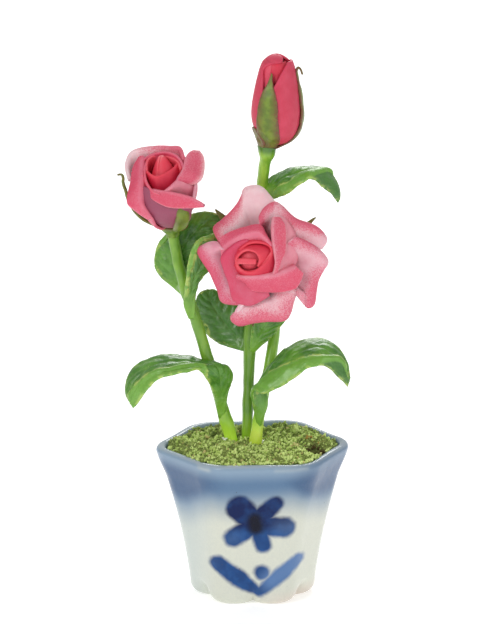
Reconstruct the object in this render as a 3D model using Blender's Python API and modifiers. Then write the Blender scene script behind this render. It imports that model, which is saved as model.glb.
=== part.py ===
"""Miniature artificial rose bush: three clay roses on thick stems, set in dried moss in a hexagonal glazed pot.

Metres, +Z up. The origin is the centre of the pot's flat underside, and -Y is the plant's front.
"""

import math
import random

import bpy
import bmesh
from mathutils import Quaternion, Vector

GAP = 0.00033  # left between pieces that touch

# Pot: a hexagon with rounded corners at the rim, six round lobes at the foot.
POT_HEIGHT = 0.0238
RIM_RADIUS = 0.0148  # centre to a rounded corner
WAIST_RADIUS = 0.0096  # the same, just above the foot
FLARE = 1.4  # power of the height by which the wall leans out
RIM_ROUNDING = 0.0046  # radius of the hexagon's corners
RIM_BULGE = 0.0004
RIM_TWIST = math.radians(5)
WALL = 0.0016
FOOT_EDGE = 0.0014  # radius between the wall and the underside
LOBE_RADIUS = 0.0032
LOBE_CENTRE = 0.0056
LOBE_TOP = 0.0034  # height at which the lobes have faded
FLOOR = 0.0030
POT_SIDES = 48

# Moss: fills the pot and stands a little above the rim.
MOSS_EDGE = 0.0233  # height of its rim
MOSS_CROWN = 0.0008  # how far its middle stands above that
MOSS_ROUGHNESS = 0.0005
MOSS_RINGS = 5
MOSS_INSET = WALL + 1.5 * GAP  # from the pot's outline, so that the slanting sides stay GAP clear

# Stems: points of the centre line from the moss up, the bloom it ends under, and the radius at
# the foot and the tip.
STEM_SINK = 0.0050  # length of a stem below the moss
STEM_STRAIGHT = 0.0014  # its last stretch, in line with the bloom
STEMS = {
    "stem_left": {
        "line": (
            (-0.00305, -0.0015, 0.0232),
            (-0.00450, -0.0016, 0.0292),
            (-0.00860, -0.0014, 0.0433),
            (-0.01120, -0.0006, 0.0515),
        ),
        "bloom": "half_open_rose",
        "radius": (0.00100, 0.00080),
    },
    "stem_middle": {
        "line": (
            (-0.00090, -0.0004, 0.0232),
            (-0.00070, -0.0003, 0.0322),
            (-0.00030, 0.0008, 0.0422),
            (0.00050, 0.0024, 0.0492),
        ),
        "bloom": "open_rose",
        "radius": (0.00085, 0.00070),
    },
    "stem_right": {
        "line": (
            (0.00030, -0.0028, 0.0232),
            (0.00110, -0.0022, 0.0292),
            (0.00330, 0.0014, 0.0406),
            (0.00380, 0.0044, 0.0518),
            (0.00160, 0.0030, 0.0630),
        ),
        "bloom": "bud",
        "radius": (0.00085, 0.00078),
    },
}
STEM_STEPS = 5  # between two points of the line

# Leaves: the four control points of the midrib's curve, half the width, the neck's share of
# that, how far along the blade is at its full width, the roll of the blade about its midrib in
# degrees at the neck, along the blade and at the tip, and how far the edges stand away from the
# midrib's plane as a share of half the width.
LEAF_THICKNESS = 0.00045
LEAF_GRID = (6, 14)
LEAVES = {
    "leaf_lower_left": {
        "stem": "stem_left",
        "rib": (
            (-0.0048, -0.0024, 0.0294),
            (-0.0043, -0.0064, 0.0381),
            (-0.0176, -0.0033, 0.0403),
            (-0.0195, -0.0048, 0.0307),
        ),
        "half_width": 0.0033,
        "neck": 0.30,
        "roll": (70, -12, -26),
        "full": 0.36,
        "cup": -0.22,
    },
    "leaf_lower_right": {
        "stem": "stem_right",
        "rib": (
            (0.0008, -0.0036, 0.0275),
            (-0.0024, -0.0065, 0.0332),
            (0.0142, -0.0024, 0.0457),
            (0.0149, -0.0040, 0.0339),
        ),
        "half_width": 0.0037,
        "neck": 0.28,
        "roll": (-70, 18, 26),
        "full": 0.40,
        "cup": 0.22,
    },
    "leaf_upper_left": {
        "stem": "stem_left",
        "rib": (
            (-0.0103, 0.0002, 0.0465),
            (-0.0125, 0.0044, 0.0520),
            (-0.0120, 0.0027, 0.0577),
            (-0.0047, 0.0012, 0.0594),
        ),
        "half_width": 0.0041,
        "neck": 0.28,
        "roll": (80, 76, 70),
        "full": 0.42,
        "cup": 0.22,
    },
    "leaf_curled": {
        "stem": "stem_left",
        "rib": (
            (-0.0092, -0.0020, 0.0447),
            (-0.0113, -0.0042, 0.0486),
            (-0.0086, -0.0026, 0.0541),
            (-0.0062, -0.0010, 0.0570),
        ),
        "half_width": 0.0021,
        "neck": 0.48,
        "roll": (70, 60, 50),
        "full": 0.90,
        "cup": 0.10,
    },
    "leaf_middle_left": {
        "stem": "stem_middle",
        "rib": (
            (-0.0005, 0.0006, 0.0366),
            (-0.0018, 0.0034, 0.0403),
            (-0.0047, 0.0026, 0.0447),
            (-0.0094, 0.0042, 0.0462),
        ),
        "half_width": 0.0036,
        "neck": 0.22,
        "roll": (80, 74, 66),
        "full": 0.50,
        "cup": 0.22,
    },
    "leaf_middle_right": {
        "stem": "stem_middle",
        "rib": (
            (-0.0001, 0.0004, 0.0362),
            (0.0006, -0.0016, 0.0392),
            (0.0012, -0.0030, 0.0428),
            (0.0048, -0.0022, 0.0456),
        ),
        "half_width": 0.0020,
        "neck": 0.34,
        "roll": (-84, -74, -60),
        "full": 0.60,
        "cup": -0.22,
    },
    "leaf_upper_right": {
        "stem": "stem_right",
        "rib": (
            (0.0019, 0.0020, 0.0617),
            (0.0052, 0.0004, 0.0652),
            (0.0124, 0.0001, 0.0680),
            (0.0132, 0.0002, 0.0620),
        ),
        "half_width": 0.0026,
        "neck": 0.70,
        "roll": (20, 16, 30),
        "full": 0.30,
        "cup": 0.22,
    },
}

SLIVER = 1e-11  # cubic metres: a loose bit smaller than this is dropped from a join

# Blooms: each stands in a frame of its own, +Z out of the flower and +Y up or back.
# A petal's lip is (turn, reach, height) at one corner, in its middle and at the other corner:
# degrees round the axis from +X, metres from the axis, metres above the base.
# A style bends the way from foot to lip. belly is a share of the reach and of the height, crest
# is a share of the reach and metres above the lip. spread opens the sides towards the foot,
# and edge shapes the lip between its middle and its corners: 1 is straight, 2 is round.
PETAL_THICKNESS = 0.00045
PETAL_GRID = (6, 7)
PETAL_FOOT = (0.0007, 0.0003)  # distance from the axis, height
SEPAL_GRID = (4, 8)
SEPAL_FOOT = (0.0007, -0.0011)
CALYX_NECK = 0.0009  # radius where the cup meets the stem
OPEN = {"belly": (0.50, 0.30), "crest": (0.80, 0.0014), "spread": 0.9, "edge": 2.0}
PEAKED = {"belly": (0.50, 0.30), "crest": (0.80, 0.0012), "spread": 0.9, "edge": 0.9}
CUPPED = {"belly": (1.10, 0.10), "crest": (0.72, 0.0006), "spread": 0.3, "edge": 1.6}
GATHERED = {"belly": (0.80, 0.02), "crest": (0.86, 0.0002), "spread": 0.3, "edge": 1.6}
WRAPPED = {"belly": (1.40, 0.05), "crest": (1.05, -0.0015), "spread": 0.0, "edge": 2.0}
CLOSED = {"belly": (1.68, 0.076), "crest": (2.74, -0.0042), "spread": 0.0, "edge": 2.0}
SEPAL = {"belly": (0.60, 0.00), "crest": (0.80, 0.0000), "spread": 0.5, "edge": 0.8}
DOMED = {"belly": (2.90, 0.073), "crest": (4.50, -0.0027), "spread": 0.0, "edge": 2.0}
POINTED = {"belly": (0.60, 0.04), "crest": (0.84, 0.0002), "spread": 0.3, "edge": 1.4}
HUGGING = {"belly": (1.63, 0.018), "crest": (2.02, -0.0042), "spread": 9.0, "edge": 2.0}
CLASPING = {"belly": (0.96, 0.055), "crest": (1.04, -0.0032), "spread": 8.0, "edge": 2.0}
RISING = {"belly": (0.78, -0.02), "crest": (0.98, -0.0036), "spread": 0.0, "edge": 0.8}

OPEN_ROSE = {
    "base": (0.0009, -0.0022, 0.0538),
    "facing": (-0.22, -0.94, 0.2542),
    "core": (0.0024, 0.0046),
    "petals": (
        (PEAKED, (136, 0.0080, 0.0036), (85, 0.0113, 0.0028), (58, 0.0096, 0.0032)),
        (OPEN, (69, 0.0081, 0.0038), (40, 0.0091, 0.0034), (4, 0.0117, 0.0030)),
        (OPEN, (2, 0.0108, 0.0032), (-28, 0.0109, 0.0026), (-53, 0.0122, 0.0024)),
        (OPEN, (-70, 0.0105, 0.0024), (-94, 0.0097, 0.0026), (-122, 0.0106, 0.0030)),
        (OPEN, (-138, 0.0083, 0.0032), (-178, 0.0077, 0.0036), (-200, 0.0090, 0.0042)),
        (CUPPED, (134, 0.0061, 0.0056), (98, 0.0048, 0.0062), (60, 0.0054, 0.0060)),
        (CUPPED, (95, 0.0034, 0.0064), (168, 0.0044, 0.0060), (233, 0.0070, 0.0046)),
        (CUPPED, (-39, 0.0056, 0.0060), (6, 0.0058, 0.0062), (49, 0.0066, 0.0060)),
        (CUPPED, (-134, 0.0034, 0.0062), (-89, 0.0051, 0.0062), (-32, 0.0086, 0.0054)),
        (WRAPPED, (-110, 0.0028, 0.0064), (30, 0.0027, 0.0070), (170, 0.0021, 0.0070)),
        (WRAPPED, (100, 0.0017, 0.0070), (210, 0.0015, 0.0072), (330, 0.0012, 0.0070)),
    ),
    "calyx": (0.0019, 0.0024),
    "sepals": (
        (SEPAL, (152, 0.0050, -0.0004), (130, 0.0098, 0.0008), (108, 0.0050, -0.0004)),
        (SEPAL, (60, 0.0050, -0.0004), (38, 0.0106, 0.0008), (16, 0.0050, -0.0004)),
        (SEPAL, (-2, 0.0050, -0.0004), (-24, 0.0090, 0.0004), (-46, 0.0050, -0.0004)),
        (SEPAL, (-72, 0.0050, -0.0004), (-94, 0.0106, 0.0008), (-116, 0.0050, -0.0004)),
        (SEPAL, (224, 0.0050, -0.0004), (202, 0.0080, 0.0004), (180, 0.0050, -0.0004)),
    ),
}
HALF_ROSE = {
    "base": (-0.0126, -0.0008, 0.0592),
    "facing": (-0.12, -0.38, 0.915),
    "core": (0.0022, 0.0064),
    "petals": (
        (GATHERED, (131, 0.0049, 0.0107), (172, 0.0057, 0.0088), (208, 0.0058, 0.0064)),
        (GATHERED, (156, 0.0064, 0.0108), (98, 0.0046, 0.0117), (34, 0.0044, 0.0105)),
        (GATHERED, (44, 0.0056, 0.0104), (22, 0.0071, 0.0093), (-16, 0.0050, 0.0070)),
        (POINTED, (192, 0.0044, 0.0082), (-64, 0.0038, 0.0078), (-36, 0.0073, 0.0064)),
        (WRAPPED, (-100, 0.0030, 0.0084), (40, 0.0030, 0.0105), (170, 0.0030, 0.0101)),
        (WRAPPED, (80, 0.0020, 0.0101), (200, 0.0019, 0.0101), (320, 0.0015, 0.0099)),
    ),
    "calyx": (0.0016, 0.0020),
    "sepals": (
        (RISING, (212, 0.0066, 0.0030), (194, 0.0072, 0.0090), (176, 0.0066, 0.0030)),
        (SEPAL, (-14, 0.0040, -0.0003), (-38, 0.0052, 0.0003), (-62, 0.0040, -0.0003)),
        (SEPAL, (70, 0.0024, -0.0008), (46, 0.0030, -0.0008), (22, 0.0024, -0.0008)),
        (SEPAL, (142, 0.0026, -0.0008), (118, 0.0034, -0.0007), (94, 0.0026, -0.0008)),
    ),
}
BUD = {
    "base": (0.0024, 0.0008, 0.0716),
    "facing": (0.15, -0.03, 1.0),
    "core": (0.0018, 0.0098),
    "petals": (
        (DOMED, (110, 0.0010, 0.0128), (215, 0.0011, 0.0137), (310, 0.0010, 0.0118)),
        (CLOSED, (-112, 0.0016, 0.0074), (-24, 0.0019, 0.0132), (70, 0.0017, 0.0124)),
        (CLOSED, (20, 0.0013, 0.0124), (90, 0.0017, 0.0134), (170, 0.0014, 0.0126)),
    ),
    "calyx": (0.0015, 0.0030),
    "sepals": (
        (HUGGING, (-97, 0.0029, 0.0121), (-100, 0.0029, 0.0123), (-103, 0.0029, 0.0121)),
        (HUGGING, (-1, 0.0031, 0.0123), (-4, 0.0031, 0.0125), (-7, 0.0031, 0.0123)),
        (CLASPING, (65, 0.0044, 0.0072), (62, 0.0044, 0.0074), (59, 0.0044, 0.0072)),
        (CLASPING, (133, 0.0044, 0.0070), (130, 0.0044, 0.0072), (127, 0.0044, 0.0070)),
        (CLASPING, (203, 0.0043, 0.0050), (200, 0.0043, 0.0052), (197, 0.0043, 0.0050)),
    ),
}

BLOOMS = {"open_rose": OPEN_ROSE, "half_open_rose": HALF_ROSE, "bud": BUD}

# Linear colour, roughness
FINISHES = {
    "glaze": ((0.62, 0.70, 0.78), 0.12),
    "moss": ((0.16, 0.20, 0.03), 0.95),
    "stem": ((0.20, 0.42, 0.03), 0.40),
    "leaf": ((0.07, 0.22, 0.03), 0.35),
    "petal": ((0.80, 0.14, 0.20), 0.55),
    "calyx": ((0.12, 0.20, 0.03), 0.50),
}


def ease(t):
    """0 to 1 with a soft start and end."""
    t = min(max(t, 0.0), 1.0)
    return t * t * (3 - 2 * t)


def mix(a, b, t):
    return a + (b - a) * t


def bezier(points, t):
    """Point and direction of a cubic curve."""
    a, b, c, d = points
    s = 1 - t
    point = a * s**3 + b * (3 * s * s * t) + c * (3 * s * t * t) + d * t**3
    slope = (b - a) * (3 * s * s) + (c - b) * (6 * s * t) + (d - c) * (3 * t * t)
    return point, slope


def material(name):
    """The finish of that name, made the first time it is asked for."""
    found = bpy.data.materials.get(name)
    if found:
        return found
    colour, roughness = FINISHES[name]
    found = bpy.data.materials.new(name)
    found.use_nodes = True
    shader = found.node_tree.nodes["Principled BSDF"]
    shader.inputs["Base Color"].default_value = (*colour, 1)
    shader.inputs["Roughness"].default_value = roughness
    found.diffuse_color = (*colour, 1)
    return found


def clear_scene():
    for obj in list(bpy.data.objects):
        bpy.data.objects.remove(obj, do_unlink=True)


def new_collection(name, hidden=False):
    collection = bpy.data.collections.new(name)
    bpy.context.scene.collection.children.link(collection)
    collection.hide_render = hidden
    return collection


def object_from(name, bm, collection, finish):
    mesh = bpy.data.meshes.new(name)
    bmesh.ops.recalc_face_normals(bm, faces=bm.faces)
    bm.to_mesh(mesh)
    bm.free()
    mesh.materials.append(material(finish))
    mesh.shade_smooth()
    obj = bpy.data.objects.new(name, mesh)
    collection.objects.link(obj)
    return obj


def loft(name, rings, collection, finish):
    """A closed solid through rings of points, with a flat face over the first and the last."""
    bm = bmesh.new()
    rows = [[bm.verts.new(point) for point in ring] for ring in rings]
    for low, high in zip(rows, rows[1:]):
        for i in range(len(low)):
            j = (i + 1) % len(low)
            bm.faces.new((low[i], low[j], high[j], high[i]))
    bm.faces.new(rows[0][::-1])
    bm.faces.new(rows[-1])
    return object_from(name, bm, collection, finish)


def sheet(name, surface, grid, thickness, collection, finish):
    """A grid bent to surface(u, v), u from 0 to 1 and v from -1 to 1, and thickened."""
    across, along = grid
    bm = bmesh.new()
    bmesh.ops.create_grid(bm, x_segments=across, y_segments=along, size=1)
    for vert in bm.verts:
        vert.co = surface(0.5 + 0.5 * vert.co.y, vert.co.x)
    obj = object_from(name, bm, collection, finish)
    solidify = obj.modifiers.new("Thickness", "SOLIDIFY")
    solidify.thickness = thickness
    solidify.offset = 0
    return obj


def applied(obj, name, collection):
    """A new mesh object with obj's modifiers applied, in place of obj."""
    graph = bpy.context.evaluated_depsgraph_get()
    mesh = bpy.data.meshes.new_from_object(obj.evaluated_get(graph))
    bm = bmesh.new()
    bm.from_mesh(mesh)
    bmesh.ops.remove_doubles(bm, verts=bm.verts, dist=1e-7)
    bm.to_mesh(mesh)
    bm.free()
    made = bpy.data.objects.new(name, mesh)
    made.matrix_world = obj.matrix_world
    collection.objects.link(made)
    bpy.data.objects.remove(obj, do_unlink=True)
    return made


def fill_pockets(mesh):
    """Removes the shells round sealed pockets, which face inwards, and loose slivers."""
    bm = bmesh.new()
    bm.from_mesh(mesh)
    left = set(bm.verts)
    pockets = []
    while left:
        start = left.pop()
        island, ends = {start}, [start]
        while ends:
            vert = ends.pop()
            found = {edge.other_vert(vert) for edge in vert.link_edges} - island
            island |= found
            ends += found
        left -= island
        faces = {face for vert in island for face in vert.link_faces}
        volume = sum(face.calc_area() * face.normal.dot(face.calc_center_median()) for face in faces)
        if volume < 3 * SLIVER:
            pockets += island
    bmesh.ops.delete(bm, geom=pockets, context="VERTS")
    bm.to_mesh(mesh)
    bm.free()


def fuse(name, core, pieces, collection):
    """Core and pieces as one solid."""
    joined = new_collection(name + "_pieces")
    for piece in pieces:
        piece.users_collection[0].objects.unlink(piece)
        joined.objects.link(piece)
    union = core.modifiers.new("Join", "BOOLEAN")
    union.operation = "UNION"
    union.operand_type = "COLLECTION"
    union.collection = joined
    union.solver = "EXACT"
    made = applied(core, name, collection)
    fill_pockets(made.data)
    for piece in pieces:
        bpy.data.objects.remove(piece, do_unlink=True)
    bpy.data.collections.remove(joined)
    return made


def hexagon_radius(angle, corner, rounding):
    """Radius at an angle of a hexagon with rounded corners, one of them at angle 0."""
    apothem = (corner - rounding) * math.cos(math.pi / 6) + rounding
    centre = corner - rounding
    from_corner = abs((angle + math.pi / 6) % (math.pi / 3) - math.pi / 6)
    round_end = math.atan2(rounding * 0.5, centre + rounding * math.cos(math.pi / 6))
    if from_corner > round_end:
        return apothem / math.cos(math.pi / 6 - from_corner)
    reach = rounding**2 - (centre * math.sin(from_corner)) ** 2
    return centre * math.cos(from_corner) + math.sqrt(max(reach, 0))


def lobed_radius(angle, corner):
    """Radius at an angle of six overlapping round lobes, one of them at angle 0."""
    from_lobe = abs((angle + math.pi / 6) % (math.pi / 3) - math.pi / 6)
    reach = LOBE_RADIUS**2 - (LOBE_CENTRE * math.sin(from_lobe)) ** 2
    radius = LOBE_CENTRE * math.cos(from_lobe) + math.sqrt(max(reach, 0))
    return radius * corner / (LOBE_CENTRE + LOBE_RADIUS)


def pot_ring(height, inset, level=None):
    """The pot's outline at a height, drawn in by inset. A level puts it somewhere else."""
    share = height / POT_HEIGHT
    corner = mix(WAIST_RADIUS, RIM_RADIUS, share**FLARE)
    corner += RIM_BULGE * ease((share - 0.78) / 0.16)
    lobes = 1 - ease(height / LOBE_TOP)
    twist = RIM_TWIST * ease(share)
    points = []
    for i in range(POT_SIDES):
        angle = 2 * math.pi * i / POT_SIDES
        rounding = RIM_ROUNDING * mix(0.8, 1.0, share)
        radius = mix(hexagon_radius(angle, corner, rounding), lobed_radius(angle, corner), lobes)
        radius = max(radius - inset, 0.0)
        x = radius * math.cos(angle + twist)
        y = radius * math.sin(angle + twist)
        points.append(Vector((x, y, height if level is None else level)))
    return points


def make_pot(collection):
    rings = []
    for step in range(4):
        turn = math.radians(30 * step)
        rings.append(pot_ring(FOOT_EDGE * (1 - math.cos(turn)), FOOT_EDGE * (1 - math.sin(turn))))
    wall_top = POT_HEIGHT - WALL / 2
    for share in (0.10, 0.19, 0.30, 0.45, 0.60, 0.74, 0.84, 0.92, 1.0):
        rings.append(pot_ring(mix(FOOT_EDGE, wall_top, share), 0))
    for step in range(1, 6):
        turn = math.radians(36 * step)
        level = wall_top + WALL / 2 * math.sin(turn)
        rings.append(pot_ring(wall_top, WALL / 2 * (1 - math.cos(turn)), level))
    for share in (0.8, 0.5, 0.2, 0.0):
        rings.append(pot_ring(mix(FLOOR, wall_top, share), WALL))
    return loft("pot", rings, collection, "glaze")


def make_moss(collection):
    """Everything inside the pot, with an uneven crown."""
    rand = random.Random(4)
    rings = []
    for share in (0.0, 0.4, 0.8, 1.0):
        height = mix(FLOOR + GAP, MOSS_EDGE, share)
        rings.append(pot_ring(height, MOSS_INSET))
    for step in range(1, MOSS_RINGS):
        inward = step / MOSS_RINGS
        crown = MOSS_EDGE + MOSS_CROWN * math.sin(inward * math.pi / 2)
        ring = pot_ring(MOSS_EDGE, MOSS_INSET)
        for point in ring:
            point.x *= 1 - inward
            point.y *= 1 - inward
            point.z = crown + rand.uniform(-1, 1) * MOSS_ROUGHNESS
        rings.append(ring)
    return loft("moss", rings, collection, "moss")


def smooth_line(points, steps):
    """Points of a smooth curve through the given ones."""
    points = [Vector(point) for point in points]
    ends = [points[0] * 2 - points[1], *points, points[-1] * 2 - points[-2]]
    line = []
    for before, a, b, after in zip(ends, ends[1:], ends[2:], ends[3:]):
        handles = (a, a + (b - before) / 6, b - (after - a) / 6, b)
        line += [bezier(handles, step / steps)[0] for step in range(steps)]
    return [*line, points[-1]]


def stem_line(stem, sink):
    """A stem's centre line, from below the moss to just under its bloom's calyx."""
    below = Vector(stem["line"][0]) - Vector((0, 0, sink))
    bloom = BLOOMS[stem["bloom"]]
    facing = Vector(bloom["facing"]).normalized()
    end = Vector(bloom["base"]) - facing * (bloom["calyx"][1] + 2.5 * GAP)
    return smooth_line((below, *stem["line"], end - facing * STEM_STRAIGHT, end), STEM_STEPS)


def make_stem(name, stem, collection, grow=0.0):
    """A tapering limb that starts below the moss, its radius grown by the amount given."""
    line = stem_line(stem, STEM_SINK + grow)
    foot, tip = stem["radius"]
    curve = bpy.data.curves.new(name, "CURVE")
    curve.dimensions = "3D"
    curve.bevel_depth = 1.0
    curve.bevel_resolution = 2
    curve.use_fill_caps = True
    spline = curve.splines.new("POLY")
    spline.points.add(len(line) - 1)
    for i, (point, place) in enumerate(zip(spline.points, line)):
        point.co = (*place, 1)
        point.radius = mix(foot, tip, i / (len(line) - 1)) + grow
    curve.materials.append(material("stem"))
    obj = bpy.data.objects.new(name, curve)
    collection.objects.link(obj)
    return obj


def make_cutter(name, stem, collection):
    """A stem with its clearance, as a mesh that reaches below the pot's floor."""
    curve = make_stem(name + "_curve", stem, collection, GAP)
    cutter = applied(curve, name, collection)
    cutter.display_type = "WIRE"
    return cutter


def cut(obj, cutters):
    """Takes the stems and their clearance out of a moss or a leaf."""
    for cutter in cutters:
        difference = obj.modifiers.new("Stem", "BOOLEAN")
        difference.operation = "DIFFERENCE"
        difference.object = cutter
        difference.solver = "EXACT"


def leaf_width(leaf, u):
    """Share of a leaf's half width at u: a neck, a full blade and a pointed tip."""
    blade = ease(u / leaf["full"])
    tip = 1 - max((u - 0.55) / 0.45, 0.0) ** 2.2
    return mix(leaf["neck"], 1.0, blade) * max(tip, 0.06)


def leaf_point(leaf, u, v):
    """A point of a leaf's blade, u along its midrib and v across."""
    rib = [Vector(point) for point in leaf["rib"]]
    place, slope = bezier(rib, u)
    along = slope.normalized()
    neck_roll, blade_roll, tip_roll = leaf["roll"]
    roll = mix(neck_roll, blade_roll, ease(u / 0.4))
    roll = math.radians(mix(roll, tip_roll, ease((u - 0.6) / 0.4)))
    side = Vector((0, 1, 0))
    side = (side - along * side.dot(along)).normalized()
    side.rotate(Quaternion(along, roll))
    normal = along.cross(side)
    width = leaf["half_width"] * leaf_width(leaf, u)
    cup = width * leaf["cup"] * v * v
    return place + side * (v * width) + normal * cup


def make_leaf(name, leaf, collection):
    def surface(u, v):
        return leaf_point(leaf, u, v)

    return sheet(name, surface, LEAF_GRID, LEAF_THICKNESS, collection, "leaf")


def lip_station(lip, v, edge):
    """Turn, reach and height of the lip, v from -1 at its first corner to 1 at its last."""
    first, middle, last = (Vector(station) for station in lip)
    corner = first if v < 0 else last
    station = middle + (corner - middle) * abs(v) ** edge
    station[0] = mix(middle[0], corner[0], abs(v))
    return station


def petal_point(petal, foot, u, v):
    """A point of a petal in its bloom's frame, u from foot to lip and v across."""
    style, *lip = petal
    turn, reach, height = lip_station(lip, v, style["edge"])
    centre = lip[1][0]
    turn = centre + (turn - centre) * (1 + style["spread"] * (1 - u))
    belly = Vector((style["belly"][0] * reach, style["belly"][1] * height))
    crest = Vector((style["crest"][0] * reach, style["crest"][1] + height))
    (out, up), _ = bezier((Vector(foot), belly, crest, Vector((reach, height))), u)
    turn = math.radians(turn)
    return Vector((out * math.cos(turn), out * math.sin(turn), up))


def place_bloom(obj, bloom):
    """Moves a piece from the bloom's frame to where the bloom stands."""
    facing = Vector(bloom["facing"]).normalized()
    obj.rotation_mode = "QUATERNION"
    obj.rotation_quaternion = Vector((0, 0, 1)).rotation_difference(facing)
    obj.location = bloom["base"]


def turned(name, profile, collection, finish, sides=16):
    """A solid turned round Z from (radius, height) pairs, from the top down."""
    bm = bmesh.new()
    verts = [bm.verts.new((radius, 0, height)) for radius, height in profile]
    for a, b in zip(verts, verts[1:]):
        bm.edges.new((a, b))
    mesh = bpy.data.meshes.new(name)
    bm.to_mesh(mesh)
    bm.free()
    mesh.materials.append(material(finish))
    obj = bpy.data.objects.new(name, mesh)
    collection.objects.link(obj)
    screw = obj.modifiers.new("Turn", "SCREW")
    screw.steps = sides
    screw.render_steps = sides
    screw.use_merge_vertices = True
    screw.merge_threshold = 1e-6
    return obj


def petal_sheets(name, petals, foot, grid, collection, finish):
    sheets = []
    for number, petal in enumerate(petals):

        def surface(u, v, petal=petal):
            return petal_point(petal, foot, u, v)

        part = sheet(f"{name}_{number}", surface, grid, PETAL_THICKNESS, collection, finish)
        sheets.append(part)
    return sheets


def make_petals(name, bloom, collection):
    """A bloom's petals and the core that carries them, as one solid."""
    radius, height = bloom["core"]
    profile = [(0.0, height)]
    for share in (0.92, 0.70, 0.35, 0.10):
        profile.append((radius * math.sqrt(1 - share**3), height * share))
    profile += [(radius * 0.6, 0.0), (0.0, 0.0)]
    core = turned(name + "_core", profile, collection, "petal")
    petals = petal_sheets(name, bloom["petals"], PETAL_FOOT, PETAL_GRID, collection, "petal")
    place_bloom(fuse(name, core, petals, collection), bloom)


def make_calyx(name, bloom, collection):
    """The cup under a bloom with its sepals, as one solid."""
    radius, height = bloom["calyx"]
    profile = [
        (0.0, -GAP),
        (radius * 0.85, -GAP),
        (radius, -GAP - height * 0.25),
        (radius * 0.8, -GAP - height * 0.6),
        (CALYX_NECK, -GAP - height),
        (0.0, -GAP - height),
    ]
    cup = turned(name + "_cup", profile, collection, "calyx")
    sepals = petal_sheets(name, bloom["sepals"], SEPAL_FOOT, SEPAL_GRID, collection, "calyx")
    place_bloom(fuse(name, cup, sepals, collection), bloom)


def main():
    clear_scene()
    plant = new_collection("rose_bush")
    cutters = new_collection("rose_bush_cutters", hidden=True)
    make_pot(plant)
    moss = make_moss(plant)
    for name, stem in STEMS.items():
        make_stem(name, stem, plant)
        cut(moss, [make_cutter(name + "_cutter", stem, cutters)])
    for name, leaf in LEAVES.items():
        made = make_leaf(name, leaf, plant)
        cut(made, [bpy.data.objects[leaf["stem"] + "_cutter"]])
    for name, bloom in BLOOMS.items():
        make_petals(name, bloom, plant)
        make_calyx(name + "_calyx", bloom, plant)


main()
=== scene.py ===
import math

import bmesh
import bpy
import numpy as np
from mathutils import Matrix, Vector


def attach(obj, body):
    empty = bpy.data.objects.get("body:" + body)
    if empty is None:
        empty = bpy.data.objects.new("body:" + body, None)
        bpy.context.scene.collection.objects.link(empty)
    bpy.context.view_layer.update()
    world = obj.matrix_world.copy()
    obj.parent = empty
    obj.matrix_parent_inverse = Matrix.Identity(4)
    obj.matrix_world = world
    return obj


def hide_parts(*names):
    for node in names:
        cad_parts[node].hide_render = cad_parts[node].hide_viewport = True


# Lengths are in millimetres throughout, and meshes are made in metres.
mm = 0.001
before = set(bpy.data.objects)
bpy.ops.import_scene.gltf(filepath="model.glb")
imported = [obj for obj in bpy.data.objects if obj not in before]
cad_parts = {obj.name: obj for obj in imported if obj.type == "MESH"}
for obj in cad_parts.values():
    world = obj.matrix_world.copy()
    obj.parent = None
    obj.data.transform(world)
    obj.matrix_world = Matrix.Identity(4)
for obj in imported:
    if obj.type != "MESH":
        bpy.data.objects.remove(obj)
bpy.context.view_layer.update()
print("Frame loaded,", len(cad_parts), "solids")


def screenColour(*levels):  # 0 to 255 as seen on a screen, given back as linear light
    shares = [level / 255 for level in levels]
    return (*[s / 12.92 if s <= 0.04045 else ((s + 0.055) / 1.055) ** 2.4 for s in shares], 1.0)


def ease(t):
    t = np.clip(t, 0, 1)
    return t * t * (3 - 2 * t)


def mix(a, b, t):
    return a + (b - a) * t


def unit(vectors):
    return vectors / np.maximum(np.linalg.norm(vectors, axis=-1, keepdims=True), 1e-9)


def bell(distance, width):
    return np.exp(-((distance / width) ** 2))


def turns(count):  # angles evenly round a circle
    return 2 * math.pi * np.arange(count) / count


def bezier(a, b, c, d, t):
    s = 1 - t
    return a * s**3 + b * (3 * s * s * t) + c * (3 * s * t * t) + d * t**3


def through(stations, where):  # a smooth run through evenly spaced stations, where from 0 to 1
    stations = np.asarray(stations, float)
    ends = [2 * stations[0] - stations[1], *stations, 2 * stations[-1] - stations[-2]]
    ends = np.asarray(ends)
    place = np.clip(where, 0, 1) * (len(stations) - 1)
    left = np.minimum(place.astype(int), len(stations) - 2)
    t = place - left
    if stations.ndim > 1:
        t = t[..., None]
    a, b, c, d = (ends[left + i] for i in range(4))
    bend = (2 * a - 5 * b + 4 * c - d) * t * t + (3 * b - a - 3 * c + d) * t**3
    return b + 0.5 * ((c - a) * t + bend)


def wobble(points, size, seed, waves=10):  # smooth unevenness, about -1 to 1, with lumps near size
    draw = np.random.default_rng(seed)
    total = 0
    for _ in range(waves):
        heading = draw.normal(size=points.shape[-1])
        heading *= 2 * math.pi / size * draw.uniform(0.5, 1.1) / np.linalg.norm(heading)
        total = total + np.sin(points @ heading + draw.uniform(0, 6.3))
    return total * math.sqrt(2 / waves) * 0.6


def facing(direction):  # turns +Z to a direction, by the shortest way
    turn = Vector((0, 0, 1)).rotation_difference(Vector(direction).normalized())
    return np.array(turn.to_matrix())


def outward(points, faces):  # faces turned so that a closed mesh encloses a positive volume
    corners = points[faces]
    cross = np.cross(corners[:, 1] - corners[:, 0], corners[:, 2] - corners[:, 0])
    volume = np.einsum("ij,ij->", corners.mean(1) - points.mean(0), cross)
    return faces if volume > 0 else faces[:, ::-1]


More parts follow.
